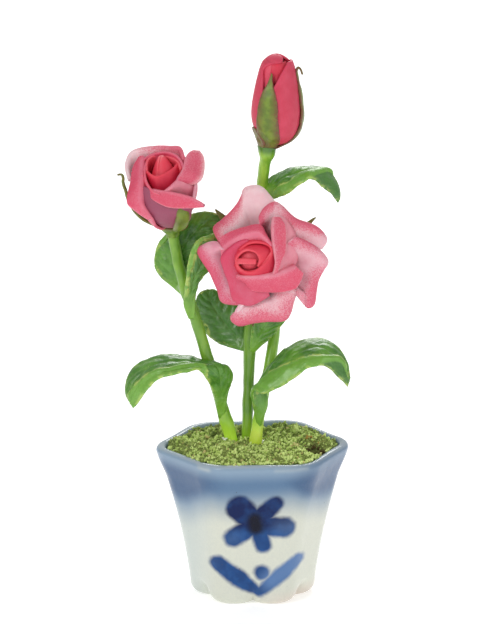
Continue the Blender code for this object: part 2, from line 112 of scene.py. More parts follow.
def meshPiece(name, points, faceGroups, finish, node, slot, values=(), smooth=True):
    mesh = bpy.data.meshes.new(name)
    mesh.vertices.add(len(points))
    mesh.vertices.foreach_set("co", (points * mm).astype(np.float32).ravel())
    corners = np.concatenate([np.ravel(group) for group in faceGroups])
    counts = np.concatenate([np.full(len(group), group.shape[1]) for group in faceGroups])
    mesh.loops.add(len(corners))
    mesh.loops.foreach_set("vertex_index", corners.astype(np.int32))
    mesh.polygons.add(len(counts))
    mesh.polygons.foreach_set("loop_start", (np.cumsum(counts) - counts).astype(np.int32))
    mesh.update(calc_edges=True)
    for label, numbers in dict(values).items():
        layer = mesh.attributes.new(label, "FLOAT", "POINT")
        layer.data.foreach_set("value", np.ravel(numbers).astype(np.float32))
    if smooth:
        mesh.shade_smooth()
    mesh.materials.append(finish)
    piece = bpy.data.objects.new(name, mesh)
    bpy.context.scene.collection.objects.link(piece)
    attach(piece, "root")
    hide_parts(node)


def tube(rings):  # a closed solid through rings of points, with a fan over each end
    count, sides = rings.shape[:2]
    index = np.arange(count * sides).reshape(count, sides)
    after = np.roll(index, -1, 1)
    quads = np.stack([index[:-1], after[:-1], after[1:], index[1:]], -1).reshape(-1, 4)
    low, high = count * sides, count * sides + 1
    fans = [np.stack([after[0], index[0], np.full(sides, low)], -1)]
    fans.append(np.stack([index[-1], after[-1], np.full(sides, high)], -1))
    points = np.concatenate([rings.reshape(-1, 3), [rings[0].mean(0), rings[-1].mean(0)]])
    return points, [outward(points, quads), np.concatenate(fans)]


def spaced(count, rim, bothEnds=False):  # 0 to 1, with extra steps that round the rim off
    curve = rim * (1 - np.cos(np.radians([67.5, 45, 22.5, 0])))
    if not bothEnds:
        return np.concatenate([np.linspace(0, 1 - rim, count), 1 - curve])
    return np.concatenate([curve[::-1], np.linspace(rim, 1 - rim, count), 1 - curve])


def quadsOf(grid):
    return np.stack([grid[:-1, :-1], grid[:-1, 1:], grid[1:, 1:], grid[1:, :-1]], -1).reshape(-1, 4)


def clayShell(surface, thickness):  # a closed shell round a grid of points, with a rounded rim
    rows, columns = surface.shape[:2]
    steps = np.linalg.norm(np.diff(surface, axis=0), axis=-1)
    toLip = np.zeros((rows, columns))
    toLip[:-1] = np.cumsum(steps[::-1], 0)[::-1]
    steps = np.linalg.norm(np.diff(surface, axis=1), axis=-1)
    fromSide = np.zeros((rows, columns))
    fromSide[:, 1:] = np.cumsum(steps, 1)
    toSide = np.minimum(fromSide, fromSide[:, -1:] - fromSide)
    toRim = np.minimum(toLip, toSide)
    half = np.broadcast_to(thickness, (rows, columns)) / 2
    half = half * np.sqrt(1 - (1 - np.clip(toRim / np.maximum(half, 1e-6), 0, 1)) ** 2)
    half[0] = 0
    normal = unit(np.cross(np.gradient(surface, axis=0), np.gradient(surface, axis=1)))
    front = np.arange(rows * columns).reshape(rows, columns)
    back = front.copy()
    inner = (rows - 2, columns - 2)
    back[1:-1, 1:-1] = rows * columns + np.arange(inner[0] * inner[1]).reshape(inner)
    offset = normal * half[..., None]
    points = [(surface + offset).reshape(-1, 3), (surface - offset)[1:-1, 1:-1].reshape(-1, 3)]
    points = np.concatenate(points)
    faces = outward(points, np.concatenate([quadsOf(front)[:, ::-1], quadsOf(back)]))

    def spread(grid):  # values of the grid for both sides
        grid = np.broadcast_to(grid, (rows, columns))
        return np.concatenate([grid.ravel(), grid[1:-1, 1:-1].ravel()])

    side = np.concatenate([np.zeros(rows * columns), np.ones(inner[0] * inner[1])])
    side[:rows * columns].reshape(rows, columns)[[0, -1]] = 0.5
    return points, faces, spread, side, toLip, toSide


def feed(tree, socket, value):
    if isinstance(value, bpy.types.NodeSocket):
        tree.links.new(value, socket)
    else:
        socket.default_value = value


def addNode(tree, kind, *inputs, **settings):
    made = tree.nodes.new(kind)
    for name, value in settings.items():
        setattr(made, name, value)
    for socket, value in zip(made.inputs, inputs):
        if value is not None:
            feed(tree, socket, value)
    return made


def calc(tree, operation, *values):
    return addNode(tree, "ShaderNodeMath", *values, operation=operation).outputs[0]


def vectorCalc(tree, operation, *values):
    return addNode(tree, "ShaderNodeVectorMath", *values, operation=operation).outputs


def stretched(tree, place, *scales):
    return vectorCalc(tree, "MULTIPLY", place, scales)[0]


def blendColours(tree, share, first, second):
    made = addNode(tree, "ShaderNodeMix", share, data_type="RGBA")
    feed(tree, made.inputs[6], first)
    feed(tree, made.inputs[7], second)
    return made.outputs[2]


def grade(tree, value, low, high, first=0.0, last=1.0):
    return addNode(tree, "ShaderNodeMapRange", value, low, high, first, last,
                   interpolation_type="SMOOTHSTEP").outputs[0]


def grain(tree, place, size, detail=2.0, rough=0.5):  # noise with lumps of about size millimetres
    return addNode(tree, "ShaderNodeTexNoise", place, None, 1 / size, detail, rough).outputs[0]


def vertexValue(tree, name):
    return addNode(tree, "ShaderNodeAttribute", attribute_name=name).outputs["Fac"]


def ramp(tree, value, *stops):  # stops are (place, colour)
    made = addNode(tree, "ShaderNodeValToRGB", value)
    scale = made.color_ramp.elements
    while len(scale) < len(stops):
        scale.new(0.5)
    for element, (place, colour) in zip(scale, stops):
        element.position = place
        element.color = colour
    return made.outputs[0]


def bump(tree, shader, height, depth):  # depth is how many millimetres a height of 1 stands up
    made = tree.nodes.new("ShaderNodeBump")
    made.inputs["Distance"].default_value = depth * mm
    feed(tree, made.inputs["Height"], height)
    tree.links.new(made.outputs[0], shader.inputs["Normal"])


def startFinish(name, **numbers):
    finish = bpy.data.materials.new(name)
    finish.use_nodes = True
    tree = finish.node_tree
    shader = tree.nodes["Principled BSDF"]
    for socket, value in numbers.items():
        shader.inputs[socket.replace("_", " ")].default_value = value
    coordinates = tree.nodes.new("ShaderNodeTexCoord").outputs["Object"]
    place = stretched(tree, coordinates, 1000, 1000, 1000)
    return finish, tree, shader, place


pot = {
    "height": 23.8,
    "rimRadius": 14.8,
    "waistRadius": 9.6,
    "flare": 1.4,
    "rounding": 6.2,
    "bulge": 0.4,
    "twist": 5,
    "wall": 1.6,
    "floor": 3.0,
    "footEdge": 1.4,
    "lobeRadius": 3.2,
    "lobeCentre": 5.6,
    "lobeTop": 3.4,
    "sides": 216,
    "unevenness": 0.06,
    "rimUnevenness": 0.10,
    "band": (13.2, 20.4),  # heights between which the blue comes in
    "darkening": (17.6, 20.6),
    "darkShare": 0.85,
    "rimStart": (20.6, 23.4),
    "bandDrift": 2.0,  # how far the edge of the band wanders up and down
    "bandSlant": 0.03,  # it hangs lower on the left
    "bandAside": 2.8,  # and lower again round the sides
    "rimColour": screenColour(142, 164, 184),
    "bandColour": screenColour(104, 134, 164),
    "darkBand": screenColour(48, 80, 120),
    "bodyColour": screenColour(214, 216, 202),
    # painted shade for the body's left side
    "leftSideShade": screenColour(172, 190, 196),
    "footTint": screenColour(222, 208, 196),
    "mottle": screenColour(120, 140, 165),
    "speck": screenColour(70, 70, 60),
    "cobalt": screenColour(0, 26, 78),
    "cobaltThin": screenColour(34, 84, 146),
    "cobaltDark": screenColour(2, 6, 30),
    "dryBrush": screenColour(96, 130, 178),
    # each brush stroke: its points across and up the front, and the brush's radius at each
    "strokes": (
        ((-1.96, 16.50, 2.20), (-0.10, 14.50, 1.90)),
        ((3.52, 17.30, 1.32), (1.30, 15.10, 1.55)),
        ((4.85, 13.20, 1.80), (2.10, 13.45, 1.65)),
        ((-2.95, 11.55, 1.60), (-0.60, 13.10, 1.65)),
        ((1.60, 10.25, 1.32), (1.00, 12.30, 1.40)),
        ((0.36, 14.60, 1.85), (0.45, 13.40, 1.85)),
        ((1.41, 5.65, 1.20), (1.41, 5.50, 1.20)),
        ((-5.30, 6.90, 1.40), (-2.40, 4.75, 1.50)),
        ((-2.40, 4.75, 1.50), (0.80, 2.30, 0.90)),
        ((7.05, 7.35, 0.95), (4.60, 5.35, 1.30)),
        ((4.60, 5.35, 1.30), (1.10, 2.35, 0.90)),
    ),
    "strokeEdge": 0.45,
    "heart": ((0.25, 14.55, 1.10), (0.55, 13.20, 1.20)),
    "heartEdge": 0.75,
    "thinEdges": (  # painted highlights on the rim, and by what share
        (((-8.2, 23.2, 0.15), (-6.9, 23.1, 0.2)), 0.5),
        (((3.6, 23.0, 0.1), (8.4, 23.1, 0.15)), 0.28),
    ),
    "thin": (  # where the brush was nearly dry, and by what share
        (((6.6, 7.2, 2.2), (3.0, 4.2, 1.7)), 0.85),
        (((5.9, 13.1, 1.4), (4.4, 13.3, 1.0)), 0.35),
        (((-3.4, 11.3, 0.9), (-2.9, 11.5, 0.9)), 0.25),
    ),
}


def fromCorner(angle):  # how far round from the nearest of six corners
    return np.abs((angle + math.pi / 6) % (math.pi / 3) - math.pi / 6)


def hexagonRadius(angle, corner, rounding):
    centre = corner - rounding
    apothem = centre * math.cos(math.pi / 6) + rounding
    away = fromCorner(angle)
    roundEnd = np.arctan2(rounding * 0.5, centre + rounding * math.cos(math.pi / 6))
    reach = np.maximum(rounding**2 - (centre * np.sin(away)) ** 2, 0)
    rounded = centre * np.cos(away) + np.sqrt(reach)
    return np.where(away > roundEnd, apothem / np.cos(math.pi / 6 - away), rounded)


def lobedRadius(angle, corner):
    away = fromCorner(angle)
    reach = pot["lobeRadius"] ** 2 - (pot["lobeCentre"] * np.sin(away)) ** 2
    radius = pot["lobeCentre"] * np.cos(away) + np.sqrt(np.maximum(reach, 0))
    return radius * corner / (pot["lobeCentre"] + pot["lobeRadius"])


def potRadius(angle, height):  # angle before the twist
    share = height / pot["height"]
    corner = mix(pot["waistRadius"], pot["rimRadius"], share ** pot["flare"])
    corner = corner + pot["bulge"] * ease((share - 0.78) / 0.16)
    rounding = pot["rounding"] * mix(0.8, 1.0, share)
    lobes = 1 - ease(height / pot["lobeTop"])
    return mix(hexagonRadius(angle, corner, rounding), lobedRadius(angle, corner), lobes)


def potRing(height, inset, level=None, sides=pot["sides"]):
    angle = turns(sides)
    radius = np.maximum(potRadius(angle, height) - inset, 0)
    turned = angle + math.radians(pot["twist"]) * ease(height / pot["height"])
    top = np.full(sides, height if level is None else level)
    return np.stack([radius * np.cos(turned), radius * np.sin(turned), top], -1)


def strokeMask(tree, flat, stroke, soft, dab):  # 1 inside a brush stroke, fading at its edge
    (x1, z1, r1), (x2, z2, r2) = stroke
    run = np.array([x2 - x1, 0, z2 - z1])
    scaled = tuple(run / max(run @ run, 1e-6))
    start = vectorCalc(tree, "SUBTRACT", flat, (x1, 0, z1))[0]
    share = vectorCalc(tree, "DOT_PRODUCT", start, scaled)["Value"]
    share = addNode(tree, "ShaderNodeClamp", share).outputs[0]
    nearest = vectorCalc(tree, "SCALE", tuple(run), None, None, share)[0]
    away = vectorCalc(tree, "DISTANCE", start, nearest)["Value"]
    brush = calc(tree, "MULTIPLY_ADD", share, r2 - r1, r1)
    edge = calc(tree, "ADD", calc(tree, "SUBTRACT", brush, away), dab)
    return grade(tree, edge, -soft, soft)


def glazeGround(tree, place, flat, front):  # the glaze without its painted flower
    x, _, z = addNode(tree, "ShaderNodeSeparateXYZ", place).outputs
    aside = calc(tree, "ABSOLUTE", x)
    wander = grain(tree, stretched(tree, place, 1, 1, 0.3), 7.0, 2)
    drift = calc(tree, "MULTIPLY_ADD", wander, pot["bandDrift"], -pot["bandDrift"] / 2)
    drift = calc(tree, "ADD", drift, calc(tree, "MULTIPLY", x, pot["bandSlant"]))
    level = calc(tree, "ADD", calc(tree, "SUBTRACT", z, drift),
                 grade(tree, aside, 5.5, 11.5, 0.0, pot["bandAside"]))
    # painted shade: the body grows darker towards its left side
    left = grade(tree, x, -5.0, -10.0, 0.0, 0.4)
    body = blendColours(tree, left, pot["bodyColour"], pot["leftSideShade"])
    colour = blendColours(tree, grade(tree, level, *pot["band"]), body, pot["bandColour"])
    corner = grade(tree, aside, 3.5, 9.0, 0.3)
    darker = calc(tree, "MULTIPLY", grade(tree, level, *pot["darkening"]), corner)
    darker = calc(tree, "MULTIPLY", darker, pot["darkShare"])
    colour = blendColours(tree, darker, colour, pot["darkBand"])
    paler = grade(tree, z, *pot["rimStart"], 0, 0.9)
    paler = calc(tree, "MULTIPLY", paler, grade(tree, x, 5.0, 11.0, 1.0, 0.6))
    colour = blendColours(tree, paler, colour, pot["rimColour"])
    # painted highlight along the very top of the rim
    colour = blendColours(tree, grade(tree, z, 23.3, 23.8, 0, 0.25), colour, pot["bodyColour"])
    # painted highlights on the rim, in the pale body colour
    for edge, share in pot["thinEdges"]:
        thin = calc(tree, "MULTIPLY", strokeMask(tree, flat, edge, 0.6, 0.0), front)
        colour = blendColours(tree, calc(tree, "MULTIPLY", thin, share), colour, pot["bodyColour"])
    foot = calc(tree, "MULTIPLY", grade(tree, z, 3.0, 0.4), grade(tree, x, -2.0, 7.0))
    colour = blendColours(tree, calc(tree, "MULTIPLY", foot, 0.7), colour, pot["footTint"])
    mottle = grade(tree, grain(tree, place, 0.30, 2), 0.35, 0.7, 0.0, 0.06)
    return blendColours(tree, mottle, colour, pot["mottle"])


def glazeFinish():
    finish, tree, shader, place = startFinish(
        "paintedGlaze", Roughness=0.14, Coat_Weight=0.12, Coat_Roughness=0.05, Specular_IOR_Level=0.20)
    _, y, z = addNode(tree, "ShaderNodeSeparateXYZ", place).outputs
    flat = stretched(tree, place, 1, 0, 1)
    front = grade(tree, y, 0.0, -2.0)
    colour = glazeGround(tree, place, flat, front)
    dab = calc(tree, "MULTIPLY_ADD", grain(tree, place, 1.5, 2), 0.5, -0.25)
    painted = 0.0
    for stroke in pot["strokes"]:
        mask = strokeMask(tree, flat, stroke, pot["strokeEdge"], dab)
        painted = calc(tree, "MAXIMUM", painted, mask)
    patchy = grade(tree, grain(tree, place, 2.2, 3), 0.42, 0.68, 0.0, 0.30)
    patchy = calc(tree, "ADD", patchy, grade(tree, z, 14.0, 11.8, 0.0, 0.55))  # thinner low down
    pigment = blendColours(tree, patchy, pot["cobalt"], pot["cobaltThin"])
    for stroke, share in pot["thin"]:
        dry = calc(tree, "MULTIPLY", strokeMask(tree, flat, stroke, 1.6, dab), share)
        pigment = blendColours(tree, dry, pigment, pot["dryBrush"])
    colour = blendColours(tree, calc(tree, "MULTIPLY", painted, front), colour, pigment)
    heart = strokeMask(tree, flat, pot["heart"], pot["heartEdge"], dab)
    colour = blendColours(tree, calc(tree, "MULTIPLY", heart, front), colour, pot["cobaltDark"])
    specks = grade(tree, grain(tree, place, 0.45, 1, 0.3), 0.80, 0.84)
    colour = blendColours(tree, calc(tree, "MULTIPLY", specks, 0.7), colour, pot["speck"])
    feed(tree, shader.inputs["Base Color"], colour)
    bump(tree, shader, grain(tree, place, 2.6, 3), 0.10)
    return finish


def makePot():
    edge, wall, half = pot["footEdge"], pot["wall"], pot["wall"] / 2
    wallTop = pot["height"] - half
    rings = [potRing(0, edge + gap, 0) for gap in (5.0, 2.5, 1.0, 0.3)]
    for turn in np.radians(np.linspace(0, 90, 9)):
        rings.append(potRing(edge * (1 - math.cos(turn)), edge * (1 - math.sin(turn))))
    for share in np.linspace(0, 1, 64)[1:]:
        rings.append(potRing(mix(edge, wallTop, share), 0))
    for turn in np.radians(np.linspace(0, 180, 19))[1:]:
        rings.append(potRing(wallTop, half * (1 - math.cos(turn)), wallTop + half * math.sin(turn)))
    for share in np.linspace(1, 0, 18)[1:]:
        rings.append(potRing(mix(pot["floor"], wallTop, share), wall))
    rings = np.array(rings)
    uneven = wobble(rings, 9.0, 3) * pot["unevenness"] * ease(rings[..., 2] / 2)
    rings[..., :2] *= (1 + uneven / 12)[..., None]
    waves = wobble(rings[..., :2], 14.0, 5) * pot["rimUnevenness"]
    rings[..., 2] += waves * ease((rings[..., 2] - 16) / 8)
    meshPiece("glazedPot", *tube(rings), glazeFinish(), "pot", "glaze")
    print("Pot glazed and painted")


moss = {
    "edge": 23.2,
    "crown": 1.25,
    "unevenness": 0.30,
    "backDrop": 0.7,
    "sides": 300,
    "rings": 100,
    "clearOfStem": 0.2,
    "clearOfHole": 1.1,
    "crumbs": 9000,
    "sizes": (0.20, 0.66),
    "shapes": 6,
    "spill": (0.995, 0.05),  # how far out crumbs reach, and how much more here and there
    "backSpill": 0.975,
    "bed": screenColour(146, 160, 88),
    "colours": {
        "bright": (212, 230, 144),
        "fresh": (184, 206, 114),
        "olive": (156, 172, 98),
        "deep": (112, 128, 70),
        "straw": (196, 184, 122),
        "brown": (168, 136, 74),
        # painted shade: the colour of the crumbs round the hole
        "dark": (84, 70, 42),
    },
    "shares": (0.30, 0.36, 0.24, 0.10),  # of the four greens
    "strawShare": 0.05,
    "brownShare": 0.6,
    "hump": (8.6, 5.2, 2.8, 0.35),  # across, back, width, height
    "hole": (9.6, -4.3, 1.2, -2.6),
    # painted shade in the hole, and how far the dark crumbs reach
    "holeShadeColour": screenColour(58, 50, 30),
    "holeShadeReach": 1.75,
    "brownClump": (9.4, -2.2, 1.3),  # across, back, width
    "clumpLift": 0.5,
    # across, back, size
    "glue": ((1.35, -2.6, 0.42), (1.9, -2.9, 0.26), (-4.3, -2.6, 0.40), (2.6, -2.7, 0.20)),
    "glueColour": screenColour(226, 230, 214),
}


def mossHeight(x, y):
    flat = np.stack([x, y], -1)
    angle = np.arctan2(y, x) - math.radians(pot["twist"])
    inward = 1 - np.hypot(x, y) / (potRadius(angle, pot["height"]) - pot["wall"])
    top = moss["edge"] + moss["crown"] * np.sin(np.clip(inward * 2.2, 0, 1) * math.pi / 2)
    top -= moss["backDrop"] * ease((y - 3) / 7)
    lumps = wobble(flat, 5.0, 21) + 1.5 * wobble(flat, 1.9, 22) + 0.6 * wobble(flat, 0.8, 23)
    top += moss["unevenness"] * lumps
    for across, back, width, height in (moss["hump"], moss["hole"]):
        top += height * np.exp(-((x - across) ** 2 + (y - back) ** 2) / width**2)
    return top


def crumbShape(divisions, seed):  # an uneven little lump of unit size
    bm = bmesh.new()
    bmesh.ops.create_icosphere(bm, subdivisions=divisions, radius=1)
    points = np.array([vert.co for vert in bm.verts])
    faces = np.array([[vert.index for vert in face.verts] for face in bm.faces])
    bm.free()
    points *= 1 + 0.45 * wobble(points, 1.3, seed)[:, None]
    return points, faces


def scatter(name, places, sizes, finish, seed):  # crumbs joined in one mesh
    draw = np.random.default_rng(seed)
    shapes = [crumbShape(1, seed + i) for i in range(moss["shapes"])]
    allPoints, allFaces, count = [], [], 0
    for place, size in zip(places, sizes):
        points, faces = shapes[draw.integers(moss["shapes"])]
        turn, _ = np.linalg.qr(draw.normal(size=(3, 3)))
        if np.linalg.det(turn) < 0:
            turn[:, 0] *= -1
        stretch = draw.uniform((0.6, 0.5, 0.5), (1.9, 1.0, 0.9))
        allPoints.append((points * stretch * size / 2) @ turn.T + place)
        allFaces.append(faces + count)
        count += len(points)
    points, faces = np.concatenate(allPoints), np.concatenate(allFaces)
    meshPiece(name, points, [faces], finish, "moss", "moss", smooth=False)


def mossFinish(name, colour=None):  # the bed's own finish where no colour is given
    finish, tree, shader, place = startFinish(name, Roughness=0.95, Specular_IOR_Level=0.15)
    if colour:
        shader.inputs["Base Color"].default_value = colour
        return finish
    tone = grade(tree, grain(tree, place, 0.35, 3), 0.3, 0.7)
    darker = tuple(part * 0.55 for part in moss["bed"][:3]) + (1.0,)
    colour = blendColours(tree, tone, darker, moss["bed"])
    away = vectorCalc(tree, "DISTANCE", stretched(tree, place, 1, 1, 0), (*moss["hole"][:2], 0))["Value"]
    # painted shade in and round the hole in the bed
    colour = blendColours(tree, grade(tree, away, 1.9, 0.9, 0.0, 0.85), colour, moss["holeShadeColour"])
    feed(tree, shader.inputs["Base Color"], colour)
    bump(tree, shader, grain(tree, place, 0.16, 3), 0.10)
    return finish


def makeMoss():
    sides, rimLevel = moss["sides"], pot["height"] - 0.8
    bed = [potRing(mix(pot["floor"] + 0.4, moss["edge"] - 0.5, share), pot["wall"] + 0.35, sides=sides)
           for share in (0.0, 0.5, 1.0)]
    edge = potRing(rimLevel, pot["wall"] + 0.12, sides=sides)
    for share in np.linspace(1, 0.02, moss["rings"]):
        ring = edge * share
        ring[:, 2] = mossHeight(ring[:, 0], ring[:, 1])
        bed.append(ring)
    meshPiece("mossBed", *tube(np.array(bed)), mossFinish("mossBed"), "moss", "moss")
    draw = np.random.default_rng(8)
    angle = draw.uniform(0, 2 * math.pi, moss["crumbs"])
    share = np.sqrt(draw.uniform(0, 1.14, moss["crumbs"]))
    reach = (potRadius(angle, rimLevel) - pot["wall"] + 0.15) * share
    turned = angle + math.radians(pot["twist"])
    x, y = reach * np.cos(turned), reach * np.sin(turned)
    spread = np.clip(wobble(np.stack([x, y], -1), 4.0, 24) + 0.3, 0, 1)
    spills = moss["spill"][0] + moss["spill"][1] * spread
    spills = np.where(y > -3, moss["backSpill"], spills)  # kept inside the rim at the back
    keep = share < spills
    for stem in stems.values():
        foot = stem["line"][0]
        keep &= np.hypot(x - foot[0], y - foot[1]) > stem["radii"][0] + moss["clearOfStem"]
    keep &= np.hypot(x - moss["hole"][0], y - moss["hole"][1]) > moss["clearOfHole"]
    x, y, share = x[keep], y[keep], share[keep]
    count = len(x)
    size = mix(*moss["sizes"], draw.uniform(0, 1, count) ** 1.8)
    z = mossHeight(x, y) + size * draw.uniform(0.0, 0.45, count)
    z = np.where(share > 0.985, np.maximum(z, pot["height"] + 0.2 * size), z)  # crumbs that lie on the rim
    # lighter greens towards the front, darker greens towards the back and the left
    taste = 0.7 * draw.uniform(0, 1, count)
    taste = taste + 0.25 * wobble(np.stack([x, y], -1), 3, 31) + 0.018 * (y - x * 0.5)
    kinds = np.searchsorted(np.quantile(taste, np.cumsum(moss["shares"])[:-1]), taste)
    straw, brown, dark = (list(moss["colours"]).index(kind) for kind in ("straw", "brown", "dark"))
    kinds = np.where(draw.uniform(0, 1, count) < moss["strawShare"], straw, kinds)
    across, back, width = moss["brownClump"]
    near = np.hypot(x - across, y - back) < width * draw.uniform(0.4, 1, count)
    kinds = np.where(near & (draw.uniform(0, 1, count) < moss["brownShare"]), brown, kinds)
    z = z + moss["clumpLift"] * near
    # crumbs round the hole take the dark colour, as painted shade in the hole
    kinds = np.where(np.hypot(x - moss["hole"][0], y - moss["hole"][1]) < moss["holeShadeReach"], dark, kinds)
    places = np.stack([x, y, z], -1)
    for kind, (name, colour) in enumerate(moss["colours"].items()):
        name = "moss" + name.title()
        chosen = kinds == kind
        scatter(name, places[chosen], size[chosen], mossFinish(name, screenColour(*colour)), 40 + kind)
    # a little hot glue set round the feet of the stems
    glue, _, shader, _ = startFinish("clearGlue", Roughness=0.12, Coat_Weight=0.6, Coat_Roughness=0.05)
    shader.inputs["Base Color"].default_value = moss["glueColour"]
    points, faces = crumbShape(3, 7)
    drops = []
    for across, back, size in moss["glue"]:
        level = mossHeight(np.array(across), np.array(back)) + 0.25
        drops.append(points * (size, size, size * 0.6) + (across, back, level))
    dropFaces = np.concatenate([faces + i * len(points) for i in range(len(drops))])
    meshPiece("glueDrops", np.concatenate(drops), [dropFaces], glue, "moss", "moss")
    print("Moss laid,", count, "crumbs")


stems = {
    "left": {
        "node": "stem_left", "bloom": "half", "radii": (1.00, 0.80), "shaded": 0.34, "footShaded": 0.0,
        "line": ((-3.05, -1.5, 23.2), (-4.50, -1.6, 29.2), (-8.60, -1.4, 43.3), (-11.20, -0.6, 51.5)),
        # place along the stem, extra radius, length
        "swellings": ((0.02, 0.10, 0.05), (0.30, 0.16, 0.03), (0.60, 0.12, 0.03), (0.98, 0.25, 0.05)),
    },
    "middle": {
        "node": "stem_middle", "bloom": "open", "radii": (0.85, 0.66), "shaded": 0.5,
        "line": ((-0.90, -0.4, 23.2), (-0.70, -0.3, 32.2), (-0.30, 0.8, 42.2), (0.50, 2.4, 49.2)),
        "swellings": ((0.48, 0.26, 0.09), (0.30, 0.08, 0.04)),
    },
    "right": {
        "node": "stem_right", "bloom": "bud", "radii": (0.85, 0.90), "bulb": 0.9,
        "line": ((0.30, -2.8, 23.2), (1.10, -2.2, 29.2), (3.30, 1.4, 40.6), (3.80, 4.4, 51.8),
                 (1.60, 3.0, 63.0)),
        "swellings": ((0.12, 0.25, 0.05), (0.19, 0.15, 0.04), (0.855, 0.32, 0.03), (0.905, 0.42, 0.04),
                      (0.96, 0.4, 0.05)),
    },
}
stemShared = {
    "sink": 5.0,
    "straight": 1.4,
    "sides": 28,
    "rings": 150,
    "unevenness": 0.05,
    "endShare": 0.8,
    "topShade": 0.95,  # under the blooms
    "green": screenColour(152, 198, 60),
    "bright": screenColour(206, 250, 72),
    "shade": screenColour(122, 172, 48),
    "shaded": screenColour(70, 118, 36),
    "bulb": screenColour(206, 228, 78),
}


def stemFinish():
    finish, tree, shader, place = startFinish(
        "stemClay", Roughness=0.32, Coat_Weight=0.35, Coat_Roughness=0.12,
        Subsurface_Weight=0.15, Subsurface_Scale=0.0008)
    shader.inputs["Subsurface Radius"].default_value = (0.6, 1.0, 0.3)
    z = addNode(tree, "ShaderNodeSeparateXYZ", place).outputs[2]
    tone = grade(tree, grain(tree, stretched(tree, place, 1, 1, 0.4), 1.6, 3), 0.36, 0.66)
    colour = blendColours(tree, tone, stemShared["shade"], stemShared["green"])
    colour = blendColours(tree, grade(tree, z, 30.0, 24.0, 0, 1.0), colour, stemShared["bright"])
    for paint in ("shaded", "bulb"):
        colour = blendColours(tree, vertexValue(tree, paint), colour, stemShared[paint])
    feed(tree, shader.inputs["Base Color"], colour)
    bump(tree, shader, grain(tree, stretched(tree, place, 1, 1, 0.25), 0.7, 3), 0.06)
    return finish


def stemLine(stem):
    below = np.array(stem["line"][0]) - (0, 0, stemShared["sink"])
    bloom = blooms[stem["bloom"]]
    axis = np.array(Vector(bloom["facing"]).normalized())
    end = np.array(bloom["base"]) - axis * bloom["stemEnd"]
    return np.array([below, *stem["line"], end - axis * stemShared["straight"], end])


def sweep(line, radii, sides):  # rings of a round limb along a line, without twisting
    tangents = unit(np.gradient(line, axis=0))
    side = np.cross(tangents[0], (0.0, 1.0, 0.3))
    rings = []
    angle = turns(sides)
    for place, tangent, radius in zip(line, tangents, radii):
        side = unit(side - tangent * (side @ tangent))
        other = np.cross(tangent, side)
        rings.append(place + radius * (np.cos(angle)[:, None] * side + np.sin(angle)[:, None] * other))
    return np.array(rings)


def makeStems():
    finish = stemFinish()
    for name, stem in stems.items():
        where = np.linspace(0, 1, stemShared["rings"])
        line = through(stemLine(stem), where)
        radii = mix(*stem["radii"], where)
        for place, extra, length in stem["swellings"]:
            radii = radii + extra * bell(where - place, length)
        radii[[0, -1]] *= stemShared["endShare"]
        rings = sweep(line, radii, stemShared["sides"])
        centre = line[:, None]
        uneven = 1 + stemShared["unevenness"] * wobble(rings, 2.2, 60)
        rings = centre + (rings - centre) * uneven[..., None]
        points, faces = tube(rings)
        z = points[:, 2]
        top = np.append(np.repeat(ease((where - 0.85) / 0.05), stemShared["sides"]), (0, 1))
        shaded = stem.get("shaded", 0.0)
        shaded = mix(stem.get("footShaded", shaded), shaded, ease((z - 27.0) / 6))
        meshPiece("stem" + name.title(), points, faces, finish, stem["node"], "stem", {
            "shaded": np.maximum(shaded, stemShared["topShade"] * top),
            "bulb": stem.get("bulb", 0.0) * (1 - ease((z - 26.0) / 2.5)),
        })
    print("Stems rolled")


